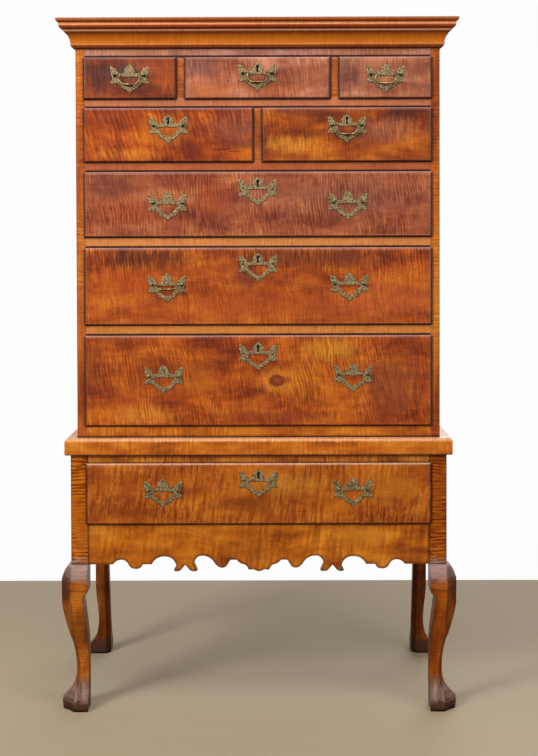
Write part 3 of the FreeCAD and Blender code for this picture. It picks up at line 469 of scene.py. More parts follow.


# Its sawn edges are darkened along their arrises with painted shade.
maple_board("apron", "#823a06", "#b05e0e", "#c67a20", curl=15, lean=-0.1, figure=0.5, veins=0.25, seed=5.1,
            rubbed=1.0, worn_tone="#280c04", edge=14.0,
            marks=[(0, 430, 70, 60, "#8a4610", 0.6), (250, 450, 120, 40, "#c27a20", 0.5)]
            + [(x, HOOK_HEIGHT, 9, 5, "#2a1206", 0.85, 0.4) for x in HOOKS])
maple_board("stand_top_rail", "#7c3c0c", "#ac5e1a", "#c67a24", curl=7, figure=0.9, seed=6.3)
for side in ("right", "left"):
    maple_board("stand_side_" + side, "#743912", "#a5591c", "#bf772c", grain="Y", curl=9, figure=0.7,
                seed=7.0 + len(side), cloud=380)


def old_pine(name, grain="X", seed=0.0, sides=False, courses=None):
    """Unfinished pine, planed by hand and browned by age: broad soft growth rings.

    With sides, the boards that face sideways run front to back.  Courses are the lowest and highest
    point of a stack of boards and their number.
    """
    material, tree, scaled = new_material(name)
    axes = add(tree, "SeparateXYZ", {}, {0: scaled})
    first, second = {"X": ("Z", "Y"), "Y": ("X", "Z"), "Z": ("X", "Y")}[grain]
    board = add(tree, "CombineXYZ", {},
                {0: axes.outputs[grain], 1: axes.outputs[first], 2: axes.outputs[second]})
    along = board
    if sides:
        facing = add(tree, "NewGeometry", {})
        normal = add(tree, "SeparateXYZ", {}, {0: facing.outputs["Normal"]})
        squared = add(tree, "Math", {"operation": "POWER", 1: 2.0}, {0: normal.outputs["X"]})
        sideways = add(tree, "Math", {"operation": "GREATER_THAN", 1: 0.5}, {0: squared})
        side_board = add(tree, "CombineXYZ", {},
                         {0: axes.outputs["Y"], 1: axes.outputs["Z"], 2: axes.outputs["X"]})
        turned_board = add(tree, "Mix", {"data_type": "VECTOR"}, {0: sideways, 4: along, 5: side_board})
        along = turned_board
    ring_scale = add(tree, "VectorMath", {"operation": "MULTIPLY_ADD", 1: (1 / 420, 1 / 26, 1 / 26),
                                          2: (seed, seed * 3, seed * 2)},
                     {0: along})
    if courses:
        low, high, count = courses
        course = add(tree, "MapRange", {"clamp": False, 1: low, 2: high, 4: count}, {0: axes.outputs["Z"]})
        number = add(tree, "Math", {"operation": "FLOOR"}, {0: course})
        shift = add(tree, "VectorMath", {"operation": "MULTIPLY_ADD", 1: (3.1, 17.0, 5.3),
                                         2: (seed, seed * 3, seed * 2)},
                    {0: number})
        tree.links.new(shift.outputs[0], ring_scale.inputs[2])
    rings = add(tree, "TexNoise", {"Scale": 1.0, "Detail": 3.0, "Roughness": 0.45, "Distortion": 0.6},
                {"Vector": ring_scale})
    tones = add(tree, "ValToRGB", {}, {0: rings})
    lay_colours(tones.color_ramp, (0.34, "#7d5630"), (0.5, "#a17642"), (0.66, "#b98d58"))
    fibre_scale = add(tree, "VectorMath", {"operation": "MULTIPLY", 1: (1 / 90, 1 / 2.2, 1 / 2.2)},
                      {0: along})
    fibres = add(tree, "TexNoise", {"Scale": 1.0, "Detail": 3.0}, {"Vector": fibre_scale})
    lines = add(tree, "MapRange", {1: 0.3, 2: 0.7, 3: 0.82, 4: 1.08}, {0: fibres})
    grained = add(tree, "VectorMath", {"operation": "MULTIPLY"}, {0: tones, 1: lines})
    if courses:
        # The joints between the boards are open by a hair and full of dirt.
        within = add(tree, "Math", {"operation": "SUBTRACT"}, {0: course, 1: number})
        middling = add(tree, "Math", {"operation": "SUBTRACT", 1: 0.5}, {0: within})
        away = add(tree, "Math", {"operation": "ABSOLUTE"}, {0: middling})
        dirt = add(tree, "MapRange", {1: 0.488, 2: 0.497, 3: 1.0, 4: 0.25}, {0: away})
        grained = add(tree, "VectorMath", {"operation": "MULTIPLY"}, {0: grained, 1: dirt})
    relief = add(tree, "Bump", {"Strength": 0.3, "Distance": 0.0008}, {"Height": fibres})
    surface = add(tree, "BsdfPrincipled", {"Roughness": 0.72, "IOR": 1.5},
                  {"Base Color": grained, "Normal": relief})
    add(tree, "OutputMaterial", {}, {0: surface})
    return material


def pine_board(node, **grain):
    """Old pine on a piece whose shape is the CAD's own."""
    finish(node, old_pine(node + "_pine", **grain))


pine_board("stand_back", seed=1.0)
pine_board("drawer_runners", grain="Y", seed=2.0)

# ---- upper case -------------------------------------------------------------------------------
# Two maple sides with pine top, bottom and back boards between them.  The front edges of the sides
# show as narrow stiles, crossed by close ripples.
for side in ("right", "left"):
    # Their arrises are darkened with painted shade.
    maple_board("case_side_" + side, "#80360a", "#ae5a1a", "#c67826", grain="Z", curl=9, figure=0.6,
                seed=9.0 + len(side), rubbed=0.85, worn_tone="#5c2e16", edge=5.0, cloud=420)
maple_board("case_top", "#7a4016", "#a3602a", "#b97a40", curl=11, figure=0.4, seed=11.0, gloss=0.5)
pine_board("case_bottom", seed=3.0)
BACK_BOARD_COUNT = 6
back_low, back_high = (corner.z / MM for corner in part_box("back_boards"))
pine_board("back_boards", seed=4.0, courses=(back_low, back_high, BACK_BOARD_COUNT))

# ---- rails, blades and dividers ---------------------------------------------------------------
# Strips of curly maple that frame the drawers, level with the front edges of the sides and tenoned
# into them.  Every blade has faded its own way, and painted shade with dirt lines it just above the
# lips below it.
LINE_TONE = "#240b04"
LINE_ABOVE_LIP = 2.2
LINE_HALF = 3.2


def dirt_lines(*fronts):
    """Marks for the lines of painted shade and dirt just above the lips of drawer fronts."""
    lips = [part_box("front_" + front)[1].z / MM for front in fronts]
    return [(0, lip + LINE_ABOVE_LIP, ACROSS, LINE_HALF, LINE_TONE, 0.95, 0.75) for lip in lips]


# Its pinkish grey is partly painted reflection of light from above.
maple_board("top_rail", "#7c4a38", "#9c6654", "#b48070", curl=10, figure=0.4, seed=12.0,
            marks=[(-330, 1730, 220, 60, "#b87a56", 0.6), (330, 1730, 200, 60, "#a2603e", 0.7)]
            + dirt_lines("top_middle"))
maple_board("bottom_rail", "#883e08", "#b66216", "#cc7a24", curl=10, figure=0.45, seed=13.0)
# Height of each blade's middle, with its colour.
BLADE_TONES = ((983.6, "#c67c3a"), (1211.3, "#cc8248"), (1406.4, "#a25230"), (1570.2, "#b06848"))
maple_board("drawer_blades", "#88400f", "#ae5a1e", "#c87630", curl=9, figure=0.3, seed=14.0,
            marks=[(0, level, ACROSS, 30, tone, 0.8, 0.7) for level, tone in BLADE_TONES]
            + dirt_lines("second_left", "third", "fourth", "fifth"))
for node in ("top_row_dividers", "second_row_divider"):
    maple_board(node, "#78340f", "#a0501e", "#bc6c34", grain="Z", curl=9, figure=0.6, seed=15.0)

# ---- waist moulding and cornice ---------------------------------------------------------------
# Lengths of moulding worked with planes and mitred at the corners; the waist moulding is nailed to
# the stand, and the cornice to the upper case.
#
# Heights on the cornice, from the lowest, with a colour each: painted light and shade, dark where the
# profile is shaded, light along its lit fillets and edges, and the cove lightened against its shadow.
CORNICE_LAYERS = ((1711.0, "#5c1c08"), (1714.8, "#7a2c0e"), (1716.4, "#a4582e"), (1718.0, "#80300a"),
                  (1720.6, "#8c3c10"), (1721.6, "#d48c5a"), (1723.2, "#c87838"), (1726.0, "#b86416"),
                  (1736.0, "#c46a14"), (1744.0, "#d06c12"), (1749.0, "#b2540c"), (1752.6, "#7c2c06"),
                  (1753.4, "#f0ac84"), (1757.6, "#f0ac84"), (1758.6, "#6c2006"), (1763.0, "#8c3410"),
                  (1768.4, "#9c4018"), (1769.4, "#dc9a78"), (1771.8, "#dc9a78"), (1773.0, "#c46c34"),
                  (1777.0, "#a4500f"), (1782.4, "#8a3c10"), (1784.4, "#96644c"), (1786.6, "#a47a66"))
WAIST_LOW, WAIST_TOP = (corner.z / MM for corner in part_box("waist_front"))
for place in ("front", "right", "left"):
    run = "X" if place == "front" else "Y"
    # A painted highlight runs along the top of the waist moulding, and a darker line along its foot.
    maple_board("waist_" + place, "#8a400c", "#b65f14", "#cc7c26", grain=run, curl=11, figure=0.4,
                seed=16.0, dust=0.15, marks=((0, WAIST_TOP, ACROSS, 8, "#dc9a62", 0.85, 0.6),
                                             (0, WAIST_LOW, ACROSS, 4, "#5a2408", 0.7, 0.5)))
    maple_board("cornice_" + place, "#7c3004", "#a84e0a", "#c4700f", grain=run, curl=8, figure=0.35,
                seed=17.0, rubbed=0.0, grimy=0.3, dust=0.25, bands=CORNICE_LAYERS)

# ---- drawers ----------------------------------------------------------------------------------
# Each drawer is a maple front with a thumbnail moulding round its lip, and a pine box behind.  Light,
# smoke and polish have turned each front another way, from orange to a purplish brown; the purplish
# and grey cast of the top row is partly painted reflection of light from above.
STAND_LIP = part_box("front_stand")[1].z / MM
# Three tones, spacing and lean of the curl, figure, how far the arrises are paled by wear and painted
# highlight, and marks.
FRONTS = {
    # In the top row, the grey and purplish patches near the tops are partly painted reflection.
    "top_left": ("#4c1808", "#7e3616", "#984b22", 8, 0.1, 0.45, 0.2,
                 ((-405, 1645, 60, 60, "#43241f", 0.85), (-330, 1655, 70, 34, "#3e2a28", 0.85),
                  (-230, 1640, 44, 44, "#9a4820", 0.6), (-300, 1606, 90, 20, "#5a2818", 0.6),
                  (-290, 1665, 40, 16, "#a04a28", 0.5))),
    "top_middle": ("#7a3e28", "#a4624a", "#c68466", 8, 0.08, 0.55, 0.3,
                   ((-150, 1668, 70, 34, "#7a4c46", 0.8), (130, 1650, 60, 60, "#8a4a30", 0.6),
                    (-80, 1640, 70, 50, "#a05a38", 0.4), (-120, 1606, 80, 30, "#b0602e", 0.6),
                    (40, 1606, 110, 22, "#a8582c", 0.5))),
    "top_right": ("#6a3424", "#98583e", "#b27454", 8, 0.0, 0.45, 0.3,
                  ((232, 1650, 44, 60, "#54302c", 0.7), (400, 1655, 60, 30, "#6a3a2e", 0.5),
                   (330, 1606, 90, 18, "#6a2c18", 0.5))),
    "second_left": ("#6a2408", "#983f0f", "#b85f14", 12, 0.3, 0.8, 0.25,
                    ((-50, 1512, 110, 50, "#7a4436", 0.65), (-30, 1468, 60, 18, "#5c3226", 0.6),
                     (-400, 1530, 90, 50, "#84380e", 0.6), (-230, 1560, 190, 16, "#5e2410", 0.5),
                     (-230, 1500, 60, 50, "#b8691c", 0.5), (-330, 1440, 110, 20, "#c07422", 0.5),
                     (-92, 1452, 40, 2.6, "#34140e", 0.85, 0.2),
                     (-60, 1447, 26, 2.2, "#34140e", 0.8, 0.2))),
    "second_right": ("#5a2008", "#8e3e0e", "#b06018", 9, 0.05, 0.55, 0.3,
                     ((100, 1560, 90, 30, "#6a3320", 0.7), (90, 1462, 90, 30, "#c67c28", 0.7),
                      (390, 1545, 90, 50, "#481a0e", 0.8), (330, 1500, 100, 40, "#8f5a48", 0.5),
                      (230, 1470, 14, 40, "#6a240c", 0.6), (250, 1565, 60, 20, "#7a4434", 0.6))),
    "third": ("#6c2e1e", "#8e482c", "#a8623e", 8, 0.1, 0.85, 0.7,
              ((230, 1330, 260, 70, "#7d4a3c", 0.6), (-380, 1360, 80, 50, "#5a2a20", 0.6),
               (-120, 1330, 60, 60, "#9c4420", 0.45), (-330, 1290, 110, 40, "#94401c", 0.6),
               (0, 1340, 60, 60, "#9a5c4c", 0.5), (-200, 1390, 140, 22, "#7a3426", 0.5),
               (380, 1370, 90, 24, "#a45a3c", 0.5))),
    "fourth": ("#702a0a", "#9c4612", "#b8621c", 8, 0.1, 1.3, 0.7,
               ((-300, 1170, 170, 34, "#4c1c0e", 0.85), (150, 1172, 260, 34, "#5e2814", 0.8),
                (-330, 1110, 110, 40, "#9c3c0c", 0.6), (300, 1060, 180, 60, "#b0562c", 0.6),
                (-30, 1130, 40, 50, "#5e2a1e", 0.6), (0, 1050, 420, 36, "#a3481a", 0.6),
                (-400, 1180, 30, 24, "#a04a14", 0.7))),
    "fifth": ("#702a0a", "#9a4412", "#b86018", 8, 0.15, 0.75, 0.3,
              ((-300, 870, 150, 66, "#84380f", 0.5), (190, 935, 110, 40, "#c87e24", 0.8),
               (120, 850, 100, 60, "#b86818", 0.6), (-300, 765, 100, 32, "#c87a2a", 0.75),
               (350, 840, 100, 100, "#743820", 0.75), (-430, 880, 40, 110, "#6c2a12", 0.6),
               (60, 762, 240, 18, "#7a3018", 0.6), (-150, 860, 60, 60, "#a85a16", 0.4),
               # A knot, with the glow round it and its dark tail.
               (56, 852, 60, 40, "#c07022", 0.75, 0.5), (75, 855, 16, 11, "#8a3a1c", 0.65, 0.3),
               (48, 853, 21, 16, "#622a10", 0.92, 0.78), (52, 854, 15, 11, "#90401a", 0.75, 0.3))),
    "stand": ("#7a3008", "#9a4a0e", "#b66414", 14, -0.12, 0.5, 0.3,
              ((-330, 520, 130, 30, "#762f08", 0.75), (-20, 530, 120, 26, "#7a3c0e", 0.7),
               (300, 620, 140, 40, "#b05e10", 0.6), (-120, 600, 160, 40, "#ac5610", 0.5),
               (60, 585, 180, 40, "#b47422", 0.6), (330, 580, 90, 50, "#b26e20", 0.5),
               # The last mark is a painted highlight, with wear, along the top of the lip.
               (-390, 560, 90, 80, "#86380e", 0.6), (0, STAND_LIP, ACROSS, 3.4, "#e4a884", 0.85, 0.6))),
}
for number, (name, (*tones, curl, lean, figure, rubbed, marks)) in enumerate(FRONTS.items()):
    low, high = (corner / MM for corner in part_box("front_" + name))
    # Painted shade, and dirt, along the lip's edges: below, left and right.
    middle = (low + high) / 2
    soiled_lip = ((middle.x, low.z + 1.0, ACROSS, 3.4, LINE_TONE, 0.85, 0.6),
                  (low.x + 2.0, middle.z, 4.5, ACROSS, "#4a160c", 0.55, 0.4),
                  (high.x - 2.0, middle.z, 4.5, ACROSS, "#3c120a", 0.7, 0.4))
    # Their flanks are darkened with painted shade.
    # The fourth row's stripes stand out along its top, and the stand's drawer is veined.
    maple_board("front_" + name, *tones, curl=curl, lean=lean, figure=figure, rubbed=rubbed,
                seed=20.0 + number * 1.7, marks=marks + soiled_lip, sides=0.65,
                calm=(high.z - 12, high.z - 76, 0.4) if name == "fourth" else None,
                veins=0.55 if name == "stand" else 0.0)
    pine_board("box_" + name, grain="Y" if "top" in name else "X", seed=5.0 + number, sides=True)

# ---- pulls ------------------------------------------------------------------------------------
# Each pull is a pierced plate of cast brass, filed along its edges, with two turned posts whose
# shanks run through the drawer front to square nuts.  Keyhole plates without posts are pinned.
PLATE_THICKNESS = 1.4
FILED_EDGE = 0.6
HALF_BORING = 38.1
NUT_HALF = 4.5
NUT_THICKNESS = 3.5
# The near-black slab that stands as painted shadow for the hole behind a keyhole plate, and the closed
# case of the lock on the front's inner face.
KEYHOLE = ((-5.2, -0.34, 0.6), (5.2, 0.4, 22.4))
LOCK_HALF = 31.0
LOCK_HEIGHT = 46.0
LOCK_DEPTH = 11.0
LOCK_BELOW_TOP = 12.0
# Distance right of the front's middle, height above its lower edge, keyhole, and posts.
PULLS = {
    "top_left": ((0.0, 62.0, False, True),),
    "top_middle": ((0.0, 67.0, True, True),),
    "top_right": ((0.0, 63.0, False, True),),
    "second_left": ((0.0, 95.5, True, True),),
    "second_right": ((0.0, 95.5, True, True),),
    "third": ((-233.0, 90.0, False, True), (233.0, 91.5, False, True), (0.0, 128.0, True, False)),
    "fourth": ((-235.5, 106.5, False, True), (236.5, 108.0, False, True), (0.0, 159.5, True, False)),
    "fifth": ((-245.0, 132.0, False, True), (246.0, 136.0, False, True), (0.0, 191.0, True, False)),
    "stand": ((-247.0, 91.0, False, True), (244.0, 93.0, False, True), (0.0, 117.0, True, False)),
}
# Right half of a plate, from its crest to its pendant, and of its opening; True marks a cusp.  A
# plate with a keyhole has a plain crest, the others a pointed leaf.
LEAF_CREST = ((0.0, 28.5, True), (3.4, 25.2, False), (7.2, 23.4, True), (8.4, 19.8, False),
              (12.2, 17.4, True), (11.2, 13.4, False), (14.2, 11.0, True), (12.0, 7.8, False),
              (14.6, 5.0, False))
KEY_CREST = ((0.0, 27.5, True), (3.6, 24.0, False), (8.4, 22.0, True), (9.2, 18.4, False),
             (13.4, 15.4, True), (13.2, 11.6, False), (11.2, 8.4, True), (13.4, 4.8, False))
PLATE_EDGE = ((18.6, 5.0, True), (22.0, 2.0, False), (26.0, 4.4, True), (29.4, 4.4, False),
              (30.4, 9.4, True), (33.0, 11.8, False), (35.2, 13.2, True), (36.8, 17.6, False),
              (41.2, 17.6, True), (43.6, 21.0, False), (48.6, 22.0, True), (49.0, 17.4, False),
              (46.8, 13.4, True), (49.2, 9.4, False), (46.2, 5.6, True), (46.8, 1.0, False),
              (44.8, -4.0, True), (42.4, -8.0, False), (43.0, -11.6, True), (46.4, -13.6, False),
              (49.6, -19.4, True), (44.6, -20.6, False), (39.6, -18.8, True), (35.6, -20.4, False),
              (31.6, -18.6, True), (28.4, -21.0, False), (26.0, -25.0, True), (22.2, -27.4, False),
              (20.0, -33.0, True), (15.8, -32.4, False), (12.2, -36.8, True), (8.6, -36.0, False),
              (5.0, -41.2, True), (2.4, -42.4, False), (0.0, -46.0, True))
PIERCING_EDGE = ((0.0, -4.2, True), (4.0, -2.2, False), (8.2, -4.2, True), (12.4, -2.2, False),
                 (16.8, -4.2, True), (21.4, -2.4, False), (25.6, -5.2, True), (26.8, -8.6, False),
                 (25.6, -13.2, True), (22.0, -15.0, False), (20.0, -20.2, True), (16.2, -21.8, False),
                 (14.2, -26.2, True), (10.4, -26.6, False), (7.4, -30.4, True), (3.4, -30.4, False),
                 (0.0, -34.2, True))
# Small round eyes: distance out, height and radius.
PLATE_EYES = ((43.0, 14.0, 2.0), (44.2, -16.4, 1.6), (23.6, -20.6, 1.3), (12.6, -31.6, 1.3))
KEYHOLE_EDGE = ((0.0, 21.2, False), (3.4, 20.0, False), (4.6, 16.8, False), (2.9, 13.0, True),
                (3.9, 2.2, True), (0.0, 1.8, False))


def pierced_plate(name, keyed, straight, rounding):
    """Mesh of a plate in the XZ plane: half its thickness between the rounded edges, and the edges."""
    curve = bpy.data.curves.new(name, "CURVE")
    curve.dimensions = "2D"
    curve.fill_mode = "BOTH"
    curve.resolution_u = 5
    curve.extrude = straight * MM
    curve.bevel_depth = rounding * MM
    curve.bevel_resolution = 1
    crest = KEY_CREST if keyed else LEAF_CREST
    loops = [list(half) + [(-x, z, cusp) for x, z, cusp in reversed(half[1:-1])]
             for half in (crest + PLATE_EDGE, PIERCING_EDGE) + ((KEYHOLE_EDGE,) if keyed else ())]
    for out, rise, radius in PLATE_EYES:
        loops += [[(side * out + radius * dx, rise + radius * dz, False)
                   for dx, dz in ((0, 1), (1, 0), (0, -1), (-1, 0))] for side in (-1, 1)]
    for loop in loops:
        spline = curve.splines.new("BEZIER")
        spline.bezier_points.add(len(loop) - 1)
        spline.use_cyclic_u = True
        for point, (x, z, cusp) in zip(spline.bezier_points, loop):
            point.co = (x * MM, z * MM, 0)
            point.handle_left_type = point.handle_right_type = "VECTOR" if cusp else "AUTO"
    mesh = curve_mesh(curve)
    mesh.transform(Euler((math.pi / 2, 0, 0)).to_matrix().to_4x4())
    return mesh


def curve_mesh(curve):
    """Mesh of a curve with its bevel."""
    shaped = placed(curve.name, curve)
    bpy.context.view_layer.update()
    mesh = bpy.data.meshes.new_from_object(shaped)
    bpy.data.objects.remove(shaped)
    return mesh


def turned(name, profile, across, segments=20):
    """Turned piece along an axis towards -Y: profile is distance out and radius, in millimetres."""
    turns = [2 * math.pi * step / segments for step in range(segments)]
    rings = [[((across + radius * math.cos(turn)) * MM, -out * MM, radius * math.sin(turn) * MM)
              for turn in turns] for out, radius in profile]
    return lofted(name, rings)


def joined(name, meshes):
    """One mesh of several."""
    vertices, faces = [], []
    for mesh in meshes:
        base = len(vertices)
        vertices += [vertex.co.copy() for vertex in mesh.vertices]
        faces += [[base + index for index in polygon.vertices] for polygon in mesh.polygons]
    whole = bpy.data.meshes.new(name)
    whole.from_pydata(vertices, [], faces)
    return whole


def slab(name, low, high, ease=0.6):
    """Block with eased edges between two corners in millimetres."""
    rings = []
    for y, inset in ((low[1], ease), (low[1] + ease, 0.0), (high[1] - ease, 0.0), (high[1], ease)):
        x0, x1, z0, z1 = low[0] + inset, high[0] - inset, low[2] + inset, high[2] - inset
        ring = [(x0 + ease, z0), (x1 - ease, z0), (x1, z0 + ease), (x1, z1 - ease), (x1 - ease, z1),
                (x0 + ease, z1), (x0, z1 - ease), (x0, z0 + ease)]
        rings.append([(x * MM, y * MM, z * MM) for x, z in ring])
    return lofted(name, rings)


def patinated_brass(name, dark, body, bright, gloss=0.42, under=0.5):
    """Cast brass gone brown and green: rubbed bright with a painted highlight at its edges, with painted
    shade and dirt in the hollows and painted shade beneath.
    """
    material, tree, scaled = new_material(name)
    patches = add(tree, "TexNoise", {"Scale": 1 / 5, "Detail": 3.0, "Roughness": 0.6}, {"Vector": scaled})
    tones = add(tree, "ValToRGB", {}, {0: patches})
    lay_colours(tones.color_ramp, (0.38, dark), (0.5, body), (0.64, bright))
    crust = add(tree, "TexNoise", {"Scale": 1 / 11, "Detail": 3.0, "Roughness": 0.7}, {"Vector": scaled})
    green = add(tree, "MapRange", {1: 0.56, 2: 0.7, 3: 0.0, 4: 0.3}, {0: crust})
    crusted = add(tree, "Mix", {"data_type": "RGBA", 7: linear("#6c7354")}, {0: green, 6: tones})
    soiled, upward = handled(tree, crusted, 1.3, {1: 0.96, 2: 0.8, 3: 0.0, 4: 0.7}, bright,
                             4.0, {1: 0.35, 2: 0.85, 3: 0.9, 4: 0.0}, "#1c140b")
    beneath = add(tree, "MapRange", {1: 0.3, 2: -0.3, 3: 0.0, 4: under}, {0: upward.outputs["Z"]})
    aged = add(tree, "Mix", {"data_type": "RGBA", 7: linear("#120c06")}, {0: beneath, 6: soiled})
    metal = add(tree, "MapRange", {1: 0.4, 2: 0.62, 3: 0.9, 4: 0.25}, {0: crust})
    rough = add(tree, "MapRange", {1: 0.35, 2: 0.7, 3: gloss + 0.18, 4: gloss - 0.08}, {0: patches})
    relief = add(tree, "Bump", {"Strength": 0.35, "Distance": 0.0005}, {"Height": patches})
    surface = add(tree, "BsdfPrincipled", {},
                  {"Base Color": aged, "Metallic": metal, "Roughness": rough, "Normal": relief})
    add(tree, "OutputMaterial", {}, {0: surface})
    return material


# Undersides are darkened with painted shade, most on the posts and the bails.
plate_brass = patinated_brass("plate_brass", "#5a482c", "#8e7950", "#b9a273")
post_brass = patinated_brass("post_brass", "#2e2a14", "#524c26", "#98905c", gloss=0.3, under=0.95)
# The painted shadow and wax round the plates, the painted shadow in a keyhole and the iron of the locks
# have the same soft patches.
old_wax = patinated_brass("old_wax", "#160a05", "#24120a", "#341c10", gloss=0.6)
keyhole_dark = patinated_brass("keyhole_dark", "#050403", "#080605", "#0c0a08", gloss=0.7)
lock_iron = patinated_brass("lock_iron", "#2b2724", "#3f3933", "#575048", gloss=0.5)
# A thin dark line round every plate, wider along its lower edges, is painted shadow with wax and dirt.
WAX_WIDTH = 1.1
WAX_THICKNESS = 0.24
WAX_SAG = 0.6
plate_meshes, wax_meshes = {}, {}
for keyed in (False, True):
    half_thickness = PLATE_THICKNESS / 2
    plate_meshes[keyed] = pierced_plate("plate_outline", keyed, half_thickness - FILED_EDGE, FILED_EDGE)
    plate_meshes[keyed].transform(Matrix.Translation((0, -half_thickness * MM, 0)))
    wax_meshes[keyed] = pierced_plate("wax_outline", keyed, 0.0, WAX_WIDTH)
    wax_meshes[keyed].transform(Matrix.Diagonal((1.0, WAX_THICKNESS / WAX_WIDTH / 2, 1.0, 1.0)))
    wax_meshes[keyed].transform(Matrix.Translation((0, 0, -WAX_SAG * MM)))
POST_TURNING = ((PLATE_THICKNESS, 4.9), (2.3, 4.6), (3.0, 3.4), (4.4, 2.8), (6.4, 2.7), (7.6, 3.6),
                (9.0, 4.3), (10.9, 4.5), (12.8, 4.1), (14.2, 2.8), (14.8, 1.2), (14.9, 0.2))
PIN_HEAD = ((PLATE_THICKNESS, 3.2), (2.0, 3.1), (2.5, 2.4), (2.7, 0.6))

for name, pulls in PULLS.items():
    low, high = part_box("front_" + name)
    middle = (low.x + high.x) / 2
    # Inner face of the drawer front, behind the face that the plates lie on.
    inside = (high.y - low.y) / MM
    for number, (x, rise, keyed, has_posts) in enumerate(pulls, 1):
        studs = []
        for x0 in (-HALF_BORING, HALF_BORING):
            studs.append(turned("stud", POST_TURNING if has_posts else PIN_HEAD, x0))
            if has_posts:
                studs.append(slab("nut", (x0 - NUT_HALF, inside, -NUT_HALF),
                                  (x0 + NUT_HALF, inside + NUT_THICKNESS, NUT_HALF)))
        # The wax piece is painted shadow, with wax and dirt.
        pull = [("plate", plate_meshes[keyed].copy(), plate_brass),
                ("wax", wax_meshes[keyed].copy(), old_wax), ("studs", joined("studs", studs), post_brass)]
        if keyed:
            # A near-black slab in the keyhole is painted shadow for the hole going on into the lock.
            pull.append(("keyhole", slab("keyhole", *KEYHOLE, ease=0.2), keyhole_dark))
            top = (high.z - low.z) / MM - rise - LOCK_BELOW_TOP
            lock = slab("lock", (-LOCK_HALF, inside, min(top - LOCK_HEIGHT, 0.0)),
                        (LOCK_HALF, inside + LOCK_DEPTH, top), ease=1.0)
            pull.append(("lock", lock, lock_iron))
        place = Matrix.Translation((middle + x * MM, low.y, low.z + rise * MM))
        for part, mesh, metal in pull:
            mesh.transform(place)
            label = "%s_%s_%d" % (part, name, number)
            piece(label, mesh, "drawer_" + name, metal)
    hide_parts("brasses_" + name)

# ---- bails ------------------------------------------------------------------------------------
# Drop handles of brass rod, drawn thin towards the ends, which turn outwards into the posts and
# swing in them.  Half of the rod's line: distance out, height and radius.
BAIL_LINE = ((0.0, -24.6, 2.9), (9.0, -24.6, 2.8), (17.5, -23.2, 2.6), (23.8, -18.6, 2.4),
             (26.2, -11.6, 2.2), (24.8, -5.0, 2.1), (23.4, 0.0, 2.0), (25.0, 3.0, 1.9), (28.4, 2.4, 1.7),
             (31.4, 0.3, 1.5), (36.0, 0.0, 1.1))


def bail_mesh(name):
    """A bail that hangs from the origin."""
    curve = bpy.data.curves.new(name, "CURVE")
    curve.dimensions = "3D"
    curve.bevel_depth = MM
    curve.bevel_resolution = 4
    curve.resolution_u = 6
    curve.use_fill_caps = True
    line = [(-x, z, thick) for x, z, thick in reversed(BAIL_LINE[1:])] + list(BAIL_LINE)
    spline = curve.splines.new("BEZIER")
    spline.bezier_points.add(len(line) - 1)
    for point, (x, z, thick) in zip(spline.bezier_points, line):
        point.co = (x * MM, 0, z * MM)
        point.radius = thick
        point.handle_left_type = point.handle_right_type = "AUTO"
    return curve_mesh(curve)


# From the lowest, foremost corner of a raised bail's box to the middle of its rod, and how far such a
# bail stands out from its pins at least.
ROD_MIDDLE = Vector((0.0, 2.0, 1.0))
STANDS_OUT = 10.0
bail_brass = patinated_brass("bail_brass", "#54431f", "#866f42", "#bda06c", gloss=0.3, under=0.95)
for joint in frame["joints"]:
    if joint["type"] != "hinge":
        continue
    node = joint["child"]
    mesh = bail_mesh(node + "_rod")
    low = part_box(node)[0]
    hinge = Vector(joint["pos_m"])
    # A bail that stands out from its plate is turned up about its pins to where its node lies.
    lift = math.atan2(hinge.y - low.y - ROD_MIDDLE.y * MM, hinge.z - low.z - ROD_MIDDLE.z * MM)
    raised = lift if hinge.y - low.y > STANDS_OUT * MM else 0.0
    mesh.transform(Euler((-raised, 0, 0)).to_matrix().to_4x4())
    mesh.transform(Matrix.Translation(hinge))
    piece(node + "_rod", mesh, node, bail_brass, (node,))

# ---- floor and lamps --------------------------------------------------------------------------
# A plain pale floor, painted matt, that ends where a wall would stand, with white all round beyond
# it.  Four large soft lamps light the chest from the left, the right, above and behind.
#
# How far the floor reaches, in metres: forward and to both sides, and back to the wall.
FLOOR_REACH = 6.0
FLOOR_END = 1.032
floor_mesh = bpy.data.meshes.new("floor")
floor_mesh.from_pydata([(-FLOOR_REACH, -FLOOR_REACH, 0), (FLOOR_REACH, -FLOOR_REACH, 0),
                        (FLOOR_REACH, FLOOR_END, 0), (-FLOOR_REACH, FLOOR_END, 0)], [], [(0, 1, 2, 3)])
floor = placed("floor", floor_mesh)
floor_paint = bpy.data.materials.new("floor_paint")
floor_paint.use_nodes = True
paint = floor_paint.node_tree.nodes["Principled BSDF"]
paint.inputs["Base Color"].default_value = linear("#a6967c")
paint.inputs["Roughness"].default_value = 0.6
paint.inputs["Specular IOR Level"].default_value = 0.1
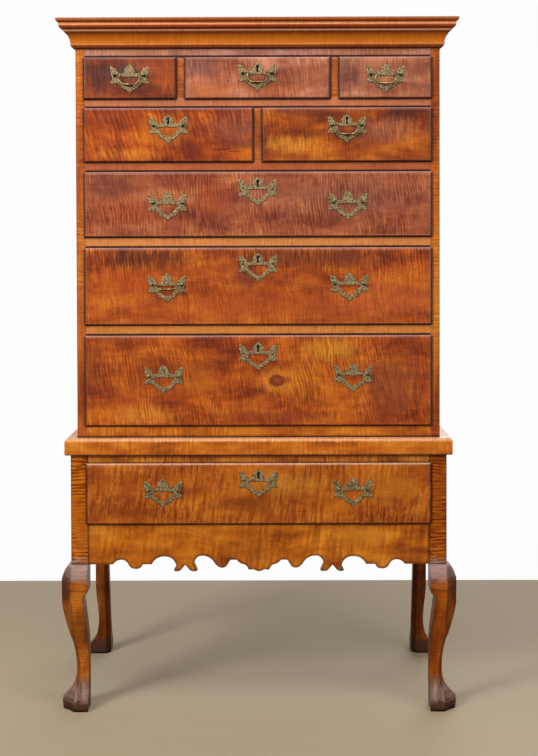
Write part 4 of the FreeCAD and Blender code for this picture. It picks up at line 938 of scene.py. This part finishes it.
floor_mesh.materials.append(floor_paint)

world = bpy.data.worlds.new("studio")
bpy.context.scene.world = world
world.use_nodes = True
sky = world.node_tree
sky.nodes.clear()
path = add(sky, "LightPath", {})
mirrored = add(sky, "Math", {"operation": "MAXIMUM"},
               {0: path.outputs["Is Glossy Ray"], 1: path.outputs["Is Transmission Ray"]})
seen = add(sky, "Math", {"operation": "MAXIMUM"}, {0: path.outputs["Is Camera Ray"], 1: mirrored})
dim = add(sky, "Background", {"Color": (1.0, 1.0, 1.0, 1.0), "Strength": 0.22})
white = add(sky, "Background", {"Color": linear("#fdfdfe"), "Strength": 1.0})
both = add(sky, "MixShader", {}, {0: seen, 1: dim, 2: white})
add(sky, "OutputWorld", {}, {0: both})


def softbox(name, place, target, width, height, watts):
    """Large soft lamp turned towards a point."""
    lamp = bpy.data.lights.new(name, "AREA")
    lamp.shape = "RECTANGLE"
    lamp.size = width
    lamp.size_y = height
    lamp.energy = watts
    made = placed(name, lamp)
    made.location = place
    made.rotation_euler = (Vector(target) - Vector(place)).to_track_quat("-Z", "Y").to_euler()


softbox("key", (-2.7, -3.0, 2.7), (0, 0, 0.9), 1.2, 1.2, 132)
softbox("fill", (3.1, -2.8, 1.5), (0, 0, 0.8), 1.8, 1.8, 42)
softbox("overhead", (0, -1.5, 3.5), (0, -0.25, 1.2), 3.2, 1.4, 55)
softbox("behind", (1.2, 3.4, 2.6), (0, 0.3, 0.9), 3.0, 2.0, 70)

# ---- camera -----------------------------------------------------------------------------------
# A slightly long lens, 3.6 m away and as high as the blade over the fourth row, with the picture
# shifted down to take in the feet.
camera_data = bpy.data.cameras.new("camera")
camera_data.sensor_fit = "VERTICAL"
camera_data.sensor_height = 36.0
camera_data.lens = 62.51
camera_data.shift_y = -0.1491
camera = placed("camera", camera_data)
camera.location = (0.0402, -3.6322, 1.2241)
camera.rotation_euler = (math.pi / 2 - 0.02114, 0.00288, 0.00342)
bpy.context.scene.camera = camera
bpy.context.scene.view_settings.view_transform = "Standard"
